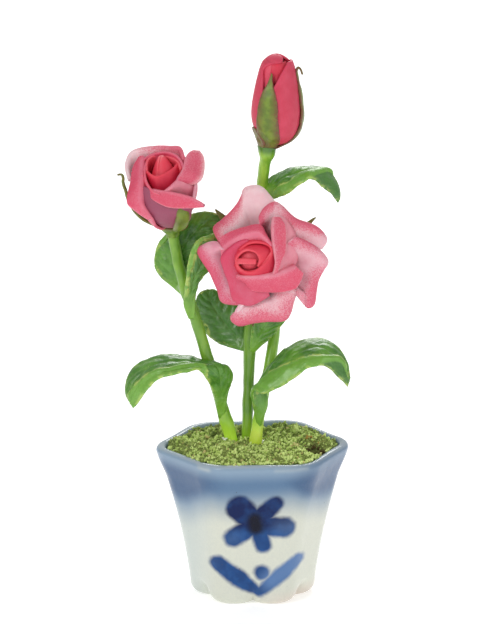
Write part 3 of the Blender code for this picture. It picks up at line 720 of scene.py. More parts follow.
# Each leaf lies between a front and a back edge, given from its neck to its tip. Its roll is
# where the folded front margin starts and ends, as shares of the way from front to back.
leaves = {
    "lowerLeft": {
        "node": "leaf_lower_left", "lift": -1, "lit": 0.9,
        "front": ((-5.3, -1.9, 28.3), (-5.7, -2.5, 30.3), (-6.2, -3.6, 33.1), (-7.4, -5.2, 36),
                  (-8.6, -6.2, 37.1), (-10.8, -6.8, 36.9), (-13.1, -7, 36.4), (-15.2, -6.8, 35.5),
                  (-16.6, -6.2, 33.5), (-17.9, -5.4, 31.5), (-18.5, -5, 30.7)),
        "back": ((-4.3, -1.9, 28.5), (-4.1, -2.4, 30.2), (-3.8, -3, 32.8), (-3.1, -3, 35.2),
                 (-3.8, -2.6, 36.6), (-7.1, -1.4, 37.1), (-10.2, -0.9, 37.9), (-14.4, -0.9, 38),
                 (-18.3, -1.6, 36.4), (-19.6, -3, 34.1), (-19.2, -4.4, 31.9)),
        "roll": ((0, 0, 0, 0, 0.15, 0.16, 0.14, 0.13, 0.26, 0.34, 0.43),
                 (0, 0, 0, 0.1, 0.3, 0.3, 0.27, 0.26, 0.4, 0.47, 0.55)),
    },
    "lowerRight": {
        "node": "leaf_lower_right", "lift": 1,
        "front": ((0.6, -2.8, 27), (0.4, -3.4, 28.7), (0, -4.4, 31.3), (0.1, -5.4, 33.6),
                  (1.6, -6.6, 33.5), (3.8, -7, 34.4), (6.1, -7, 35.8), (8.7, -6.6, 37.5),
                  (11, -6.2, 37.8), (13, -5.4, 36), (14.7, -4.6, 34)),
        "back": ((1.4, -2.8, 27), (1.7, -3.4, 28.7), (2.4, -3.4, 31), (2.1, -2.8, 33.4), (1.6, -2, 34.8),
                 (3, -1, 36.8), (4.9, -0.6, 38.7), (7.5, -0.6, 40.3), (10.9, -0.9, 40.7),
                 (13.9, -2.4, 38.9), (15, -4.2, 35.4)),
        "roll": ((0, 0, 0, 0, 0, 0, 0, 0, 0.05, 0.45, 0.5),
                 (0, 0, 0.1, 0.5, 0.62, 0.5, 0.4, 0.3, 0.32, 0.6, 0.55)),
    },
    "upperRight": {
        "node": "leaf_upper_right", "lift": 1,
        "front": ((2.1, 1.6, 62.9), (3, 0.4, 62.7), (4.4, -0.6, 63.4), (6.1, -1.5, 64.6),
                  (7.7, -2.2, 65.8), (9.1, -2.4, 66.4), (10.7, -1.8, 65.2), (12.1, -1.2, 63.9),
                  (13.2, -0.8, 62.4)),
        "back": ((1.7, 3.4, 64.3), (2.4, 3.6, 65), (3.5, 3.8, 65.7), (5.3, 4, 66.5), (7.5, 3.8, 66.9),
                 (9.8, 3.2, 67), (11.8, 2.2, 66.8), (13.1, 0.8, 64.7), (13.4, -0.4, 62.9)),
        "roll": ((0, 0, 0, 0, 0, 0.02, 0.8, 1.1, 1.1), (0, 0.1, 0.3, 0.3, 0.33, 0.6, 1.1, 1.3, 1.3)),
    },
    "upperLeft": {
        "node": "leaf_upper_left", "lift": -1,
        "front": ((-10.6, 0.4, 47), (-12.5, 1.4, 48.5), (-14.4, 2.2, 50.1), (-15.2, 2.8, 52.3),
                  (-14.6, 3, 54.8), (-13, 3, 56.8), (-10.6, 2.8, 58.9), (-8.6, 2.4, 60.1),
                  (-6.5, 2, 60.2), (-4.4, 1.6, 59.3)),
        "back": ((-9.7, 0.4, 47.3), (-9.1, 1, 48.9), (-8.3, 1.6, 50.7), (-7.7, 1.8, 52.4),
                 (-7.1, 1.8, 54), (-6.5, 1.6, 55.3), (-5.8, 1.4, 56.5), (-5.2, 1.2, 57.5),
                 (-4.6, 1.2, 58.3), (-3.8, 1.2, 58.7)),
        "roll": ((0, 0), (0.06, 0.06)),
    },
    "curled": {
        "node": "leaf_curled", "lift": -1,
        "front": ((-9.9, -1.8, 44.2), (-10.7, -2.4, 46.6), (-10.5, -2.8, 48.9), (-10.3, -3.2, 51.2),
                  (-9.9, -3.6, 53.7), (-9.4, -3.6, 55.6), (-8.6, -3.2, 56.9), (-7.2, -2.4, 57.5),
                  (-5.8, -1.6, 57.8)),
        "back": ((-8.9, -1.8, 44.3), (-8.9, -2, 46.6), (-8.8, -2, 48.5), (-8.3, -2, 50.3),
                 (-7.1, -1.8, 51.7), (-6.1, -1.6, 52.4), (-5.4, -1.4, 53.5), (-4.9, -1.2, 54.9),
                 (-4.7, -1.2, 56.3)),
        "roll": ((0, 0), (0.16, 0.16)),
    },
    "middleLeft": {
        "node": "leaf_middle_left", "lift": -1, "shaded": 0.55,
        "front": ((-1.2, 0.2, 38.4), (-2.7, 1, 38.6), (-4.6, 1.8, 39.1), (-6.2, 2.6, 39.8),
                  (-7.6, 3.2, 41.3), (-8.5, 3.8, 43.2), (-8.9, 4, 45.1), (-8.3, 4.2, 46.6),
                  (-6.9, 4.2, 47.3)),
        "back": ((-0.6, 0.2, 38.8), (-0.6, 1.2, 40.4), (-0.7, 2, 42.1), (-1.2, 2.6, 43.7), (-2, 3, 45),
                 (-3.1, 3.4, 45.9), (-4.1, 3.8, 46.4), (-5.2, 4, 47), (-6.3, 4.2, 47.4)),
        "roll": ((0, 0), (0.06, 0.06)),
    },
    "middleRight": {
        "node": "leaf_middle_right", "lift": -1,
        "front": ((-0.6, 0, 38.3), (-0.4, -0.8, 40.4), (-0.1, -1.4, 42.6), (0.4, -1.8, 44.3),
                  (1.1, -2, 45.8), (2.2, -2, 46.8), (3.6, -2, 47.4), (5.1, -2, 47.7)),
        "back": ((0.2, 0, 38.4), (1.4, -0.8, 39.7), (2.8, -1.6, 41.2), (4.1, -2.2, 42.8),
                 (5.2, -2.4, 44.3), (5.9, -2.4, 45.6), (6.2, -2.2, 46.7), (6.1, -2, 47.6)),
        "roll": ((0, 0), (0.06, 0.06)),
    },
}
leafShared = {
    "thickness": 0.42,
    "neckThickness": 0.9,
    "crown": 0.13,  # how far the middle stands over the edges, for each millimetre of width
    "veins": 9,
    "veinSlant": 0.22,
    "veinDepth": 0.085,
    "ribDepth": 0.16,
    "rollHeight": 0.34,
    "unevenness": 0.12,
    "nubs": 0.22,
    "teeth": 11,
    "toothSize": 0.30,
    "cells": (130, 60),
    "green": screenColour(94, 150, 42),
    "light": screenColour(124, 168, 78),
    "dark": screenColour(58, 114, 30),
    "margin": screenColour(196, 212, 112),
    "under": screenColour(92, 148, 54),
    "neck": screenColour(128, 178, 58),
    "roll": screenColour(114, 168, 58),
    # painted shade: the dark green beyond the roll, and over leaves in shade
    "folded": screenColour(70, 120, 50),
}


def leafFinish():
    finish, tree, shader, place = startFinish(
        "leafClay", Roughness=0.36, Coat_Weight=0.28, Coat_Roughness=0.22,
        Subsurface_Weight=0.10, Subsurface_Scale=0.0008)
    shader.inputs["Subsurface Radius"].default_value = (0.5, 1.0, 0.3)
    tone = grade(tree, grain(tree, place, 2.6, 4), 0.32, 0.70)
    colour = blendColours(tree, tone, leafShared["dark"], leafShared["green"])
    flecks = grade(tree, grain(tree, place, 0.6, 3), 0.5, 0.8, 0, 0.4)
    colour = blendColours(tree, flecks, colour, leafShared["light"])
    for value, share, paint in (("vein", 0.32, "light"), ("underside", 0.6, "under")):
        amount = calc(tree, "MULTIPLY", vertexValue(tree, value), share)
        colour = blendColours(tree, amount, colour, leafShared[paint])
    patchy = grade(tree, grain(tree, place, 0.9, 2), 0.42, 0.58, 0.06, 1.0)
    margin = calc(tree, "MULTIPLY", vertexValue(tree, "margin"), patchy)
    # folded lays the painted shade beyond the roll
    for paint in ("neck", "roll", "folded"):
        colour = blendColours(tree, vertexValue(tree, paint), colour, leafShared[paint])
    colour = blendColours(tree, calc(tree, "MULTIPLY", margin, 0.9), colour, leafShared["margin"])
    feed(tree, shader.inputs["Base Color"], colour)
    bump(tree, shader, grain(tree, place, 0.45, 4), 0.10)
    return finish


def leafSurface(leaf, up, across):
    front, back = through(leaf["front"], up)[:, None], through(leaf["back"], up)[:, None]
    u, v = np.meshgrid(up, across, indexing="ij")
    span = back - front
    width = np.linalg.norm(span, axis=-1)
    along = unit(np.gradient((front + back)[:, 0], axis=0))[:, None]
    normal = unit(np.cross(along, span)) * leaf["lift"]
    onBlade = ease((u - 0.12) / 0.2)
    # teeth along both margins
    tooth = (u * leafShared["teeth"] + 0.3 * np.sign(v)) % 1.0
    uneven = 0.6 + 0.5 * wobble(np.stack([u * 9, v], -1), 1.0, 69)
    tooth = leafShared["toothSize"] * uneven * onBlade * (tooth - 0.5)
    reach = v + np.sign(v) * tooth * np.abs(v) ** 6 / width * (1 - u**8)
    points = front + span * (0.5 + 0.5 * reach)[..., None]
    # veins and rib
    wave = np.cos(2 * math.pi * leafShared["veins"] * (u - leafShared["veinSlant"] * np.abs(v)))
    relief = leafShared["veinDepth"] * wave * np.abs(v) ** 0.5 * (1 - np.abs(v) ** 4)
    fromRib = v * width / 2
    relief = relief - leafShared["ribDepth"] * bell(fromRib, 0.32)
    # the front margin is rolled over, and beyond the roll the leaf is painted as its other side, a green
    # darkened as painted shade
    share = 0.5 + 0.5 * v
    low, high = (through(edge, up)[:, None] for edge in leaf["roll"])
    high = high + 0.05 * wobble(np.stack([u * 9, v * 0], -1), 1.6, 74)
    blade = ease((share - high) * width / 0.35 + 0.5)
    folded = ease((low - share) * width / 0.35 + 0.5) * ease((low + 0.001) / 0.02)
    roll = (1 - blade) * (1 - folded)
    rolled = np.clip((share - low) / np.maximum(high - low, 1e-3), 0, 1)
    swell = np.sin(math.pi * rolled) ** 0.7 * np.minimum((high - low) * width, 1)
    relief = relief * blade + leafShared["rollHeight"] * swell
    relief = relief + leafShared["unevenness"] * wobble(points, 2.6, 70)
    lift = leafShared["crown"] * width * (1 - v * v) * mix(0.5, 1.0, onBlade) + relief * onBlade
    points = points + normal * lift[..., None]
    vein = np.maximum(np.clip(-wave, 0, 1) ** 4, bell(fromRib, 0.22)) * onBlade * blade
    rim = bell((1 - np.abs(v)) * width / 2, 0.34) * onBlade
    crest = bell((share - high) * width, 0.24) * ease((high - 0.02) / 0.05) * onBlade
    roll, folded = roll * onBlade, folded * onBlade
    return points, {"vein": vein, "rim": rim, "crest": crest, "roll": roll, "folded": folded}


def makeLeaves():
    finish = leafFinish()
    for name, leaf in leaves.items():
        rows, columns = leafShared["cells"]
        up = spaced(rows, 0.018)
        across = spaced(columns, 0.07, True) * 2 - 1
        surface, looks = leafSurface(leaf, up, across)
        thickness = mix(leafShared["neckThickness"], leafShared["thickness"], ease(up / 0.26))[:, None]
        thickness = thickness * (1 + 0.2 * wobble(surface, 1.1, 72))
        nubs = np.clip(0.6 + 0.6 * wobble(surface, 1.3, 73), 0, 1.4)
        thickness = thickness + leafShared["nubs"] * looks["rim"] * nubs
        points, faces, spread, side, toLip, toSide = clayShell(surface, thickness)
        margin = 0.7 * bell(np.minimum(toLip, toSide), 0.36) * ease((up - 0.1) / 0.2)[:, None]
        # lit paints the part beyond the roll lighter, as in light, with the roll's green; shaded lays
        # painted shade over a whole leaf
        lit = leaf.get("lit", 0.0)
        folded = np.maximum((0.8 - lit) * looks["folded"], leaf.get("shaded", 0.0))
        meshPiece("leaf" + name[0].upper() + name[1:], points, [faces], finish, leaf["node"], "leaf", {
            "vein": spread(looks["vein"]),
            "margin": spread(np.maximum(margin, looks["crest"])),
            "neck": spread(0.8 * (1 - ease((up - 0.06) / 0.22))[:, None]),
            "underside": side if leaf["lift"] > 0 else 1 - side,
            "roll": spread(0.8 * looks["roll"] + lit * looks["folded"]),
            "folded": spread(folded),
        })
    print("Leaves shaped,", len(leaves))


# A petal's lip, rim and middle are points in its bloom's own frame, +Z out of the flower and +Y
# up or back. Its body is (share of the lip's reach, share of its height) on the way up. Blush is
# how much is sprayed along the rim, from one side of the petal to the other.
openPetals = {
    "Top": {
        "lip": ((-4.3, 2.8, 4.6), (-5.5, 5.7, 3.4), (-4, 6.7, 3), (-2.3, 7.8, 2.8), (-1.1, 8.9, 2.7),
                (-0.2, 10.2, 2.7), (0.4, 11.1, 2.7), (2, 11.2, 2.7), (3.1, 10.5, 2.7), (4, 9.1, 2.8),
                (4.7, 7.8, 3)),
        "body": ((0.4, 0.7), (0.78, 1.25)), "blush": (1, 1, 1, 1, 1, 0.8, 0.3, 0.1, 0, 0, 0),
        "opening": 0.5, "turned": 0.6, "band": 2.2, "tone": 0.06,
    },
    "UpperRight": {
        "lip": ((2.3, 6.1, 4.6), (3.2, 7.3, 4.2), (4.7, 8, 3.8), (5.4, 7.6, 3.5), (6.7, 6, 3.3),
                (8, 4.8, 3.2), (9.4, 3.9, 3.1), (10.5, 3.1, 3), (11.4, 2, 2.8), (11.6, 0.9, 2.7),
                (10.4, -0.3, 2.8)),
        "body": ((0.4, 0.7), (0.78, 1.2)), "blush": (1, 1, 0.9, 0.5, 0.8, 1, 1, 1, 0.7, 0.1, 0),
        "opening": 0.5, "turned": 0.6, "band": 2.3, "tone": 0.14,
    },
    "Right": {
        "lip": ((7.3, 2.1, 5), (8.5, 1.4, 4.4), (9.8, 0.3, 4), (10.9, -1.2, 3.6), (11.3, -2.5, 3.2),
                (10.4, -3.5, 2.9), (9.3, -4.9, 2.8), (8.6, -6.7, 2.7), (7.8, -8.5, 2.5), (6.9, -8.6, 2.6),
                (6.9, -6.4, 3.2)),
        "body": ((0.4, 0.7), (0.78, 1.15)),
        "blush": (0.6, 0.8, 0.8, 0.4, 0.3, 0.6, 0.8, 0.9, 0.9, 0.7, 0.4), "opening": 0.5, "turned": 0.6,
        "band": 2.3, "tone": 0.2,
    },
    "Bottom": {
        "lip": ((5.9, -5.9, 3.4), (4.8, -7.7, 3), (4, -9.3, 2.8), (2.9, -10.1, 2.6), (0.4, -9.7, 2.6),
                (-2, -9.7, 2.6), (-4.2, -9.7, 2.7), (-5.2, -8.5, 2.9), (-3.8, -7.8, 3.2),
                (-2.7, -6.7, 3.6)),
        "body": ((0.4, 0.7), (0.78, 1.3)), "blush": (0.4, 0.7, 0.8, 0.9, 1, 1, 1, 0.8, 0.05, 0),
        "opening": 0.5, "turned": 0.7, "band": 2.7, "tone": 0.1,
    },
    "Left": {
        "lip": ((-2.2, -6.7, 3.6), (-4.7, -6.3, 3.3), (-6.2, -5.5, 3.1), (-6.5, -3.6, 3),
                (-7.1, -1.4, 3.2), (-7.9, 0.9, 3.5), (-8.5, 2.8, 3.7), (-7.5, 3.5, 4.1), (-6.1, 3.7, 4.4),
                (-4.7, 3.3, 4.6)),
        "body": ((0.4, 0.7), (0.78, 1.2)), "blush": (0.7, 0.8, 0.8, 0.9, 1, 1, 1, 0.3, 0, 0),
        "opening": 0.5, "turned": 0.6, "band": 2.3, "tone": 0.3,
    },
    "RingUpper": {
        "middle": ((-4.7, 0.8, 4.6), (-2.5, 1.6, 5.1), (-0.4, 2.1, 5.3), (1.3, 2, 5.3), (2.7, 1.5, 5.4),
                   (3.5, 0.7, 5.4)),
        "lip": ((-4.5, 2, 5.3), (-2.8, 3.1, 5.9), (-0.4, 3.7, 6.4), (2.1, 3.7, 6.6), (3, 2.7, 6.7),
                (3.9, 1.2, 6.6)),
        "rim": ((-4.5, 4, 4.8), (-2.6, 4.7, 5.1), (-0.1, 4.9, 5.4), (2.3, 4.9, 5.6), (3.1, 3.2, 6.1),
                (3.9, 1.3, 6.3)),
        "body": ((0.75, 0.4),), "blush": (0.5, 0.8, 1, 1, 0.8), "band": 0.8, "tone": 0.34, "warm": 0.3,
    },
    "RingLeft": {
        "middle": ((0, 1.8, 5.9), (-1.2, 1.4, 5.8), (-2, 0.6, 5.6), (-2.4, -0.4, 5.4), (-2.2, -1.5, 5.2),
                   (-1.6, -2.4, 5), (-0.9, -3.1, 4.9), (-0.1, -3.5, 4.8), (0.9, -3.9, 4.6),
                   (2.1, -4.3, 4.4)),
        "lip": ((0.4, 2.9, 6.3), (-1.1, 2.9, 6.2), (-2.9, 2.1, 5.9), (-4.5, 0.9, 5.4), (-4.5, -1, 5),
                (-4.2, -3, 4.8), (-4, -5.6, 4.4), (-2.7, -6.6, 4.2), (-1.2, -7, 4.1), (1.7, -5.9, 4)),
        "body": ((0.7, 0.4),), "blush": (0.9, 0.9, 1, 1, 0.9, 0.7, 0.6, 0.5, 0.3, 0.2), "turned": 0.3,
        "band": 2.4, "tone": 0.68, "warm": 0.05,
    },
    "RingRight": {
        "middle": ((6, 5.2, 4.4), (6.8, 3.5, 4.4), (7.2, 1.5, 4.2), (6.9, -0.8, 4.2), (5.9, -2.6, 4.2),
                   (4.2, -4.1, 4.4)),
        "lip": ((4.8, 5.7, 5.7), (4.5, 4.3, 6.3), (4.3, 2.1, 6.8), (4.3, 0.1, 7.1), (4, -1.9, 7),
                (3.1, -3.4, 6.7)),
        "rim": ((5.7, 5.5, 5.3), (6.3, 4, 5.6), (6.2, 2, 6), (5.8, 0, 6.3), (4.8, -1.6, 6.7),
                (3.8, -3.5, 6.5)),
        "body": ((0.7, 0.4),), "blush": (1, 1), "band": 0.8, "tone": 0.2, "warm": 0.3,
    },
    "RingBottom": {
        "lip": ((-2.5, -2.2, 6), (-1.4, -2.7, 6.3), (-0.4, -3, 6.6), (1.4, -3.3, 6.8), (3.4, -3.4, 6.8),
                (5.2, -3.2, 6.5), (6.3, -2.9, 6.3), (7.1, -2.6, 6)),
        "rim": ((-2.4, -2.5, 5.6), (-1.4, -3.5, 5.4), (-0.7, -4.8, 5.1), (1.1, -5.4, 5.1),
                (3.4, -5.8, 5.1), (5.9, -5.8, 4.9), (7.1, -4.6, 5), (7.7, -3.5, 5.2)),
        "body": ((0.8, 0.4),), "blush": (1, 1), "band": 0.8, "tone": 0.28, "warm": 0.3,
    },
    "HeartMiddle": {
        "middle": ((-2.1, 1.4, 5.6), (-0.2, 2.7, 5.8), (2.2, 2.5, 5.8), (3.9, 1.4, 5.8), (4, -0.6, 5.8),
                   (3.5, -2.4, 5.8), (2.1, -3.4, 5.8), (0, -3.2, 5.6), (-1.9, -2.1, 5.4),
                   (-2.7, -0.4, 5.4)),
        "lip": ((-1, 1.5, 6.9), (0.5, 2.2, 7), (2.2, 2.1, 7), (3.5, 1.3, 6.9), (3.6, 0.2, 6.9),
                (2.7, -0.8, 7), (1.6, -1.5, 7), (0.2, -2, 6.9), (-1.2, -1.6, 6.7), (-2.1, -0.3, 6.5)),
        "tone": 0.68, "warm": 1,
    },
    "HeartInner": {
        "middle": ((1.6, -2.1, 6.1), (3, -1.1, 6.1), (3.2, 0.8, 6.2), (0.9, 2, 6.2), (-1.1, 1.6, 6.2),
                   (-2.1, 0.5, 6.1), (-2.1, -1.1, 6), (-1, -2.3, 6), (0.3, -2.7, 6), (1.7, -2.4, 6.1),
                   (2.9, -1.7, 6.1), (3.8, -0.4, 6.1)),
        "lip": ((1.1, -1.4, 6.9), (1.6, -0.4, 7.2), (1.3, 0.6, 7.4), (0.2, 1.2, 7.4), (-0.9, 1, 7.2),
                (-1.8, 0.2, 7), (-1.8, -0.9, 6.8), (-1, -1.7, 6.7), (0.1, -1.9, 6.7), (1.2, -1.7, 6.8),
                (2.3, -0.9, 6.9), (3.6, 0.4, 6.9)),
        "body": ((0.9, 0.4),), "tone": 0.56, "warm": 1,
    },
    "HeartTongue": {
        "middle": ((-1.7, -0.4, 6.2), (-0.9, -0.4, 6.2), (0.1, -0.6, 6.2), (1, -0.9, 6.2)),
        "lip": ((-1.8, 0.1, 7.1), (-0.8, 0, 7.25), (0.1, -0.2, 7.25), (1.2, -0.5, 7.1)),
        "rim": ((-1.9, -0.6, 6.9), (-1, -0.7, 7.1), (-0.1, -0.9, 7.1), (1, -1.1, 6.95)),
        "tone": 0.4, "warm": 1,
    },
}
halfPetals = {
    "LeftRoll": {
        "lip": ((-3, 3.5, 10.9), (-3.4, 1.7, 10.6), (-3.6, -0.3, 9.8), (-3.8, -2, 8.8), (-4, -3.7, 7.2),
                (-2.7, -4.9, 4.9)),
        "rim": ((-3.6, 3.7, 10.5), (-4.5, 2.1, 10), (-5.2, -0.2, 8.8), (-6, -3.3, 7.4), (-4.8, -4.2, 6),
                (-3.2, -5, 4.8)),
        "body": ((0.36, 0.1), (0.74, 0.42)), "blush": (1, 1, 1, 1, 0.5, 0), "band": 0.8, "tone": 0.36,
        "warm": 0.35,
    },
    "Back": {
        "lip": ((-5.5, 0.6, 8.6), (-5.8, 2.7, 9.8), (-5, 4.5, 10.6), (-3.3, 4.7, 11.2), (-0.6, 4.2, 11.6),
                (1.4, 3.9, 11.5), (2.9, 3.7, 11.3), (3.4, 2.2, 10.9), (3.7, 1.6, 9.8), (3.7, 1.3, 8.6)),
        "body": ((0.52, 0.13), (0.8, 0.45), (0.8, 0.82)), "blush": (0, 0, 0.1, 0.6, 0.9, 1, 1, 0.9, 0.8),
        "turned": 0.3, "band": 1.8, "tone": 0.02,
    },
    "BackInner": {
        "lip": ((-3.1, -0.7, 10), (-3.3, 1.7, 10.6), (-2.3, 3.1, 11), (-0.5, 3.1, 11.4), (1.3, 2.6, 11.4),
                (2.7, 1.6, 11), (3.3, -0.4, 10.4)),
        "body": ((0.8, 0.25), (1, 0.7)), "blush": (0.8, 0.8), "band": 1.4, "tone": 0.5, "warm": 0.3,
    },
    "LeftInner": {
        "lip": ((-2.3, 2.7, 10.9), (-2.8, 0.8, 10.4), (-2.7, -1.3, 9.6), (-1.9, -2.9, 8.8),
                (-0.7, -3.7, 8.4)),
        "body": ((0.8, 0.25), (1, 0.6)), "blush": (0.7, 0.7), "tone": 0.5, "warm": 0.5,
    },
    "RightBody": {
        "lip": ((3.5, 2, 9.4), (4.5, 0.3, 8.8), (4.8, -1.3, 8), (4.6, -2.8, 7.4), (4.2, -4, 6.8),
                (2.8, -4.2, 6.8), (1.3, -4, 7.2)),
        "body": ((0.34, 0.12), (0.6, 0.32)), "blush": (0.3, 0.3), "tone": 0.26,
    },
    "RightLobe": {
        "middle": ((0, -2.4, 6.6), (1.9, -2.2, 6.6), (3.8, -1.8, 6.8), (4.6, -0.4, 7.2), (4.6, 1.7, 7.6),
                   (4.5, 3.5, 7.8), (4.7, 4.5, 8.2)),
        "lip": ((-0.2, -3.5, 8.4), (1.1, -2.9, 9), (2.4, -1.9, 9.8), (3.3, -0.5, 10.3), (3.7, 1.3, 10.6),
                (4.3, 2.6, 10.8), (5.1, 3.2, 10.8)),
        "rim": ((0.5, -2.4, 8), (2.3, -1.2, 8.2), (4.4, -1.5, 7.9), (5.8, -1.1, 8.4), (6.4, 0.7, 9),
                (6.4, 2.5, 9.8), (5.7, 3.7, 10.3)),
        "body": ((0.6, 0.3),), "blush": (1, 1, 1, 0.9, 0.8, 0.8), "band": 0.8, "tone": 0.24, "warm": 0.3,
        "edgeHighlight": 0.62,
    },
    "Front": {
        "middle": ((-4.6, -1.8, 6.4), (-3.9, -2.9, 6), (-2.6, -3.9, 5.6), (-0.2, -4.6, 5.2),
                   (1.9, -4.5, 5), (3.3, -4, 5), (4.2, -4, 5.6)),
        "lip": ((-4.2, -1.4, 8.2), (-3.1, -1.8, 8.6), (-1.7, -2.8, 8.6), (1, -3.7, 8.4), (3.3, -4.6, 8),
                (4.7, -5.2, 7.4), (6, -5.5, 6.6)),
        "rim": ((-3.6, -1.9, 8), (-2.6, -2.3, 7.8), (-1.8, -3.7, 7.3), (0.1, -4.8, 6.6), (2.3, -5.4, 6.5),
                (4.1, -5.4, 6.3), (5.9, -5.1, 6.2)),
        "body": ((0.32, 0.1), (0.66, 0.34)), "blush": (1, 1, 1, 0.9, 0.6), "band": 0.8, "tone": 0.3,
        # its back is painted in shade
        "warm": 0.4, "backShade": 1,
    },
    "HeartBack": {
        "lip": ((-2.6, 0.1, 10.1), (-2.4, 2, 10.6), (-1.7, 2.9, 10.9), (-0.3, 3.2, 11), (1.1, 2.5, 10.9),
                (2.3, 1.4, 10.6), (2.8, -0.2, 10.2)),
        "body": ((0.9, 0.3), (1, 0.7)), "tone": 0.46, "warm": 0.9,
    },
    "HeartFront": {
        "middle": ((-2.4, 0.1, 8.4), (-1.9, -0.9, 7.8), (-1.3, -1.7, 7.4), (-0.3, -1.8, 7.2),
                   (0.8, -1.5, 7.6), (1.8, -0.7, 8.2), (2.7, 0.9, 8.8)),
        "lip": ((-2.5, 0.4, 10.2), (-1.9, -0.5, 10.1), (-1.1, -1, 10), (-0.1, -0.8, 10),
                (0.9, -0.3, 10.1), (1.8, 0.4, 10.3), (2.4, 1.2, 10.6)),
        "body": ((0.9, 0.1),), "tone": 0.7, "warm": 1,
    },
    "HeartPeak": {
        "bands": ((-130, 240, 1.6, 6), (-130, 240, 1.6, 9), (-128, 238, 1.15, 10),
                  (-124, 236, 0.76, 10.65), (-118, 236, 0.4, 11.15), (-110, 236, 0.1, 11.5)),
        "lean": ((6, 0, 0.3), (9, 0, 0.8), (12, -0.1, 2.1)),
        "tone": 0.44, "warm": 1, "edgeHighlight": 0.26,
    },
}
# Bands are (first turn, last turn, radius, height) from the foot up.
budPetals = {
    "Inner": {
        "bands": ((-130, 170, 1.5, 5), (-130, 165, 2, 9), (-130, 160, 2, 10.9), (-128, 150, 1.75, 12.3),
                  (-124, 120, 1.05, 13.2)),
        "blush": (0.3, 0.3), "tone": 0.62, "warm": 0.9,
    },
    "InnerLeft": {
        "bands": ((60, 255, 1.6, 5), (60, 252, 2.5, 8.6), (60, 246, 2.3, 10.8), (60, 242, 2, 12.2),
                  (60, 240, 1.3, 13.2)),
        "blush": (0.2, 0.5), "tone": 0.5, "warm": 0.6,
    },
    "Hood": {
        "bands": ((20, 225, 1.1, 0.2), (20, 226, 2.3, 0.9), (20, 228, 3, 2), (20, 230, 3.5, 3.65),
                  (20, 232, 3.56, 5.6), (20, 231, 3.28, 7.9), (20, 222, 2.85, 10.1), (20, 213, 2.5, 11.6),
                  (15, 232, 2.15, 12.6), (5, 300, 1.5, 13.3), (-5, 335, 0.8, 13.75),
                  (-10, 340, 0.2, 13.95)),
        "blush": (0.3, 0.6), "band": 0.6, "tone": 0.76, "warm": 0.3,
    },
    "Wrap": {
        "bands": ((-140, 80, 1.2, 0.2), (-140, 80, 2.4, 0.9), (-138, 80, 3.15, 2), (-134, 78, 3.66, 3.65),
                  (-126, 75, 3.74, 5.6), (-114, 70, 3.46, 7.9), (-96, 62, 2.95, 10.1),
                  (-76, 50, 2.55, 12), (-57, 40, 2.3, 13), (-38, 10, 2.1, 13.6)),
        "blush": (0.6, 0.3), "band": 0.6, "tone": 0.78, "warm": 0.25,
    },
}
petalShared = {
    "foot": (0.7, 0.3),
    "thickness": 0.46,
    "cells": (44, 52),
    "unevenness": 0.12,
    "folded": (0.64, 0.24),  # spray on a folded lip, and how much more towards its rim
    "pale": screenColour(236, 204, 208),
    "pink": screenColour(214, 122, 148),
    "deep": screenColour(204, 70, 98),
    "crimson": screenColour(190, 38, 66),
    "paleCoral": screenColour(238, 112, 122),
    "coral": screenColour(226, 60, 80),
    "deepCoral": screenColour(200, 24, 60),
    # painted shade, mauve, for the back of a petal
    "backShade": screenColour(132, 60, 88),
    "sprayed": screenColour(210, 52, 92),
    "sprayedWarm": screenColour(212, 52, 80),
}
calyxShared = {
    "thickness": 0.4,
    "cells": (48, 16),
    "unevenness": 0.05,
    "fluting": 0.05,
    "sides": 32,
    "cupRings": 60,
    "dark": screenColour(88, 118, 28),
    "light": screenColour(116, 146, 34),
    "brown": screenColour(114, 60, 46),
}
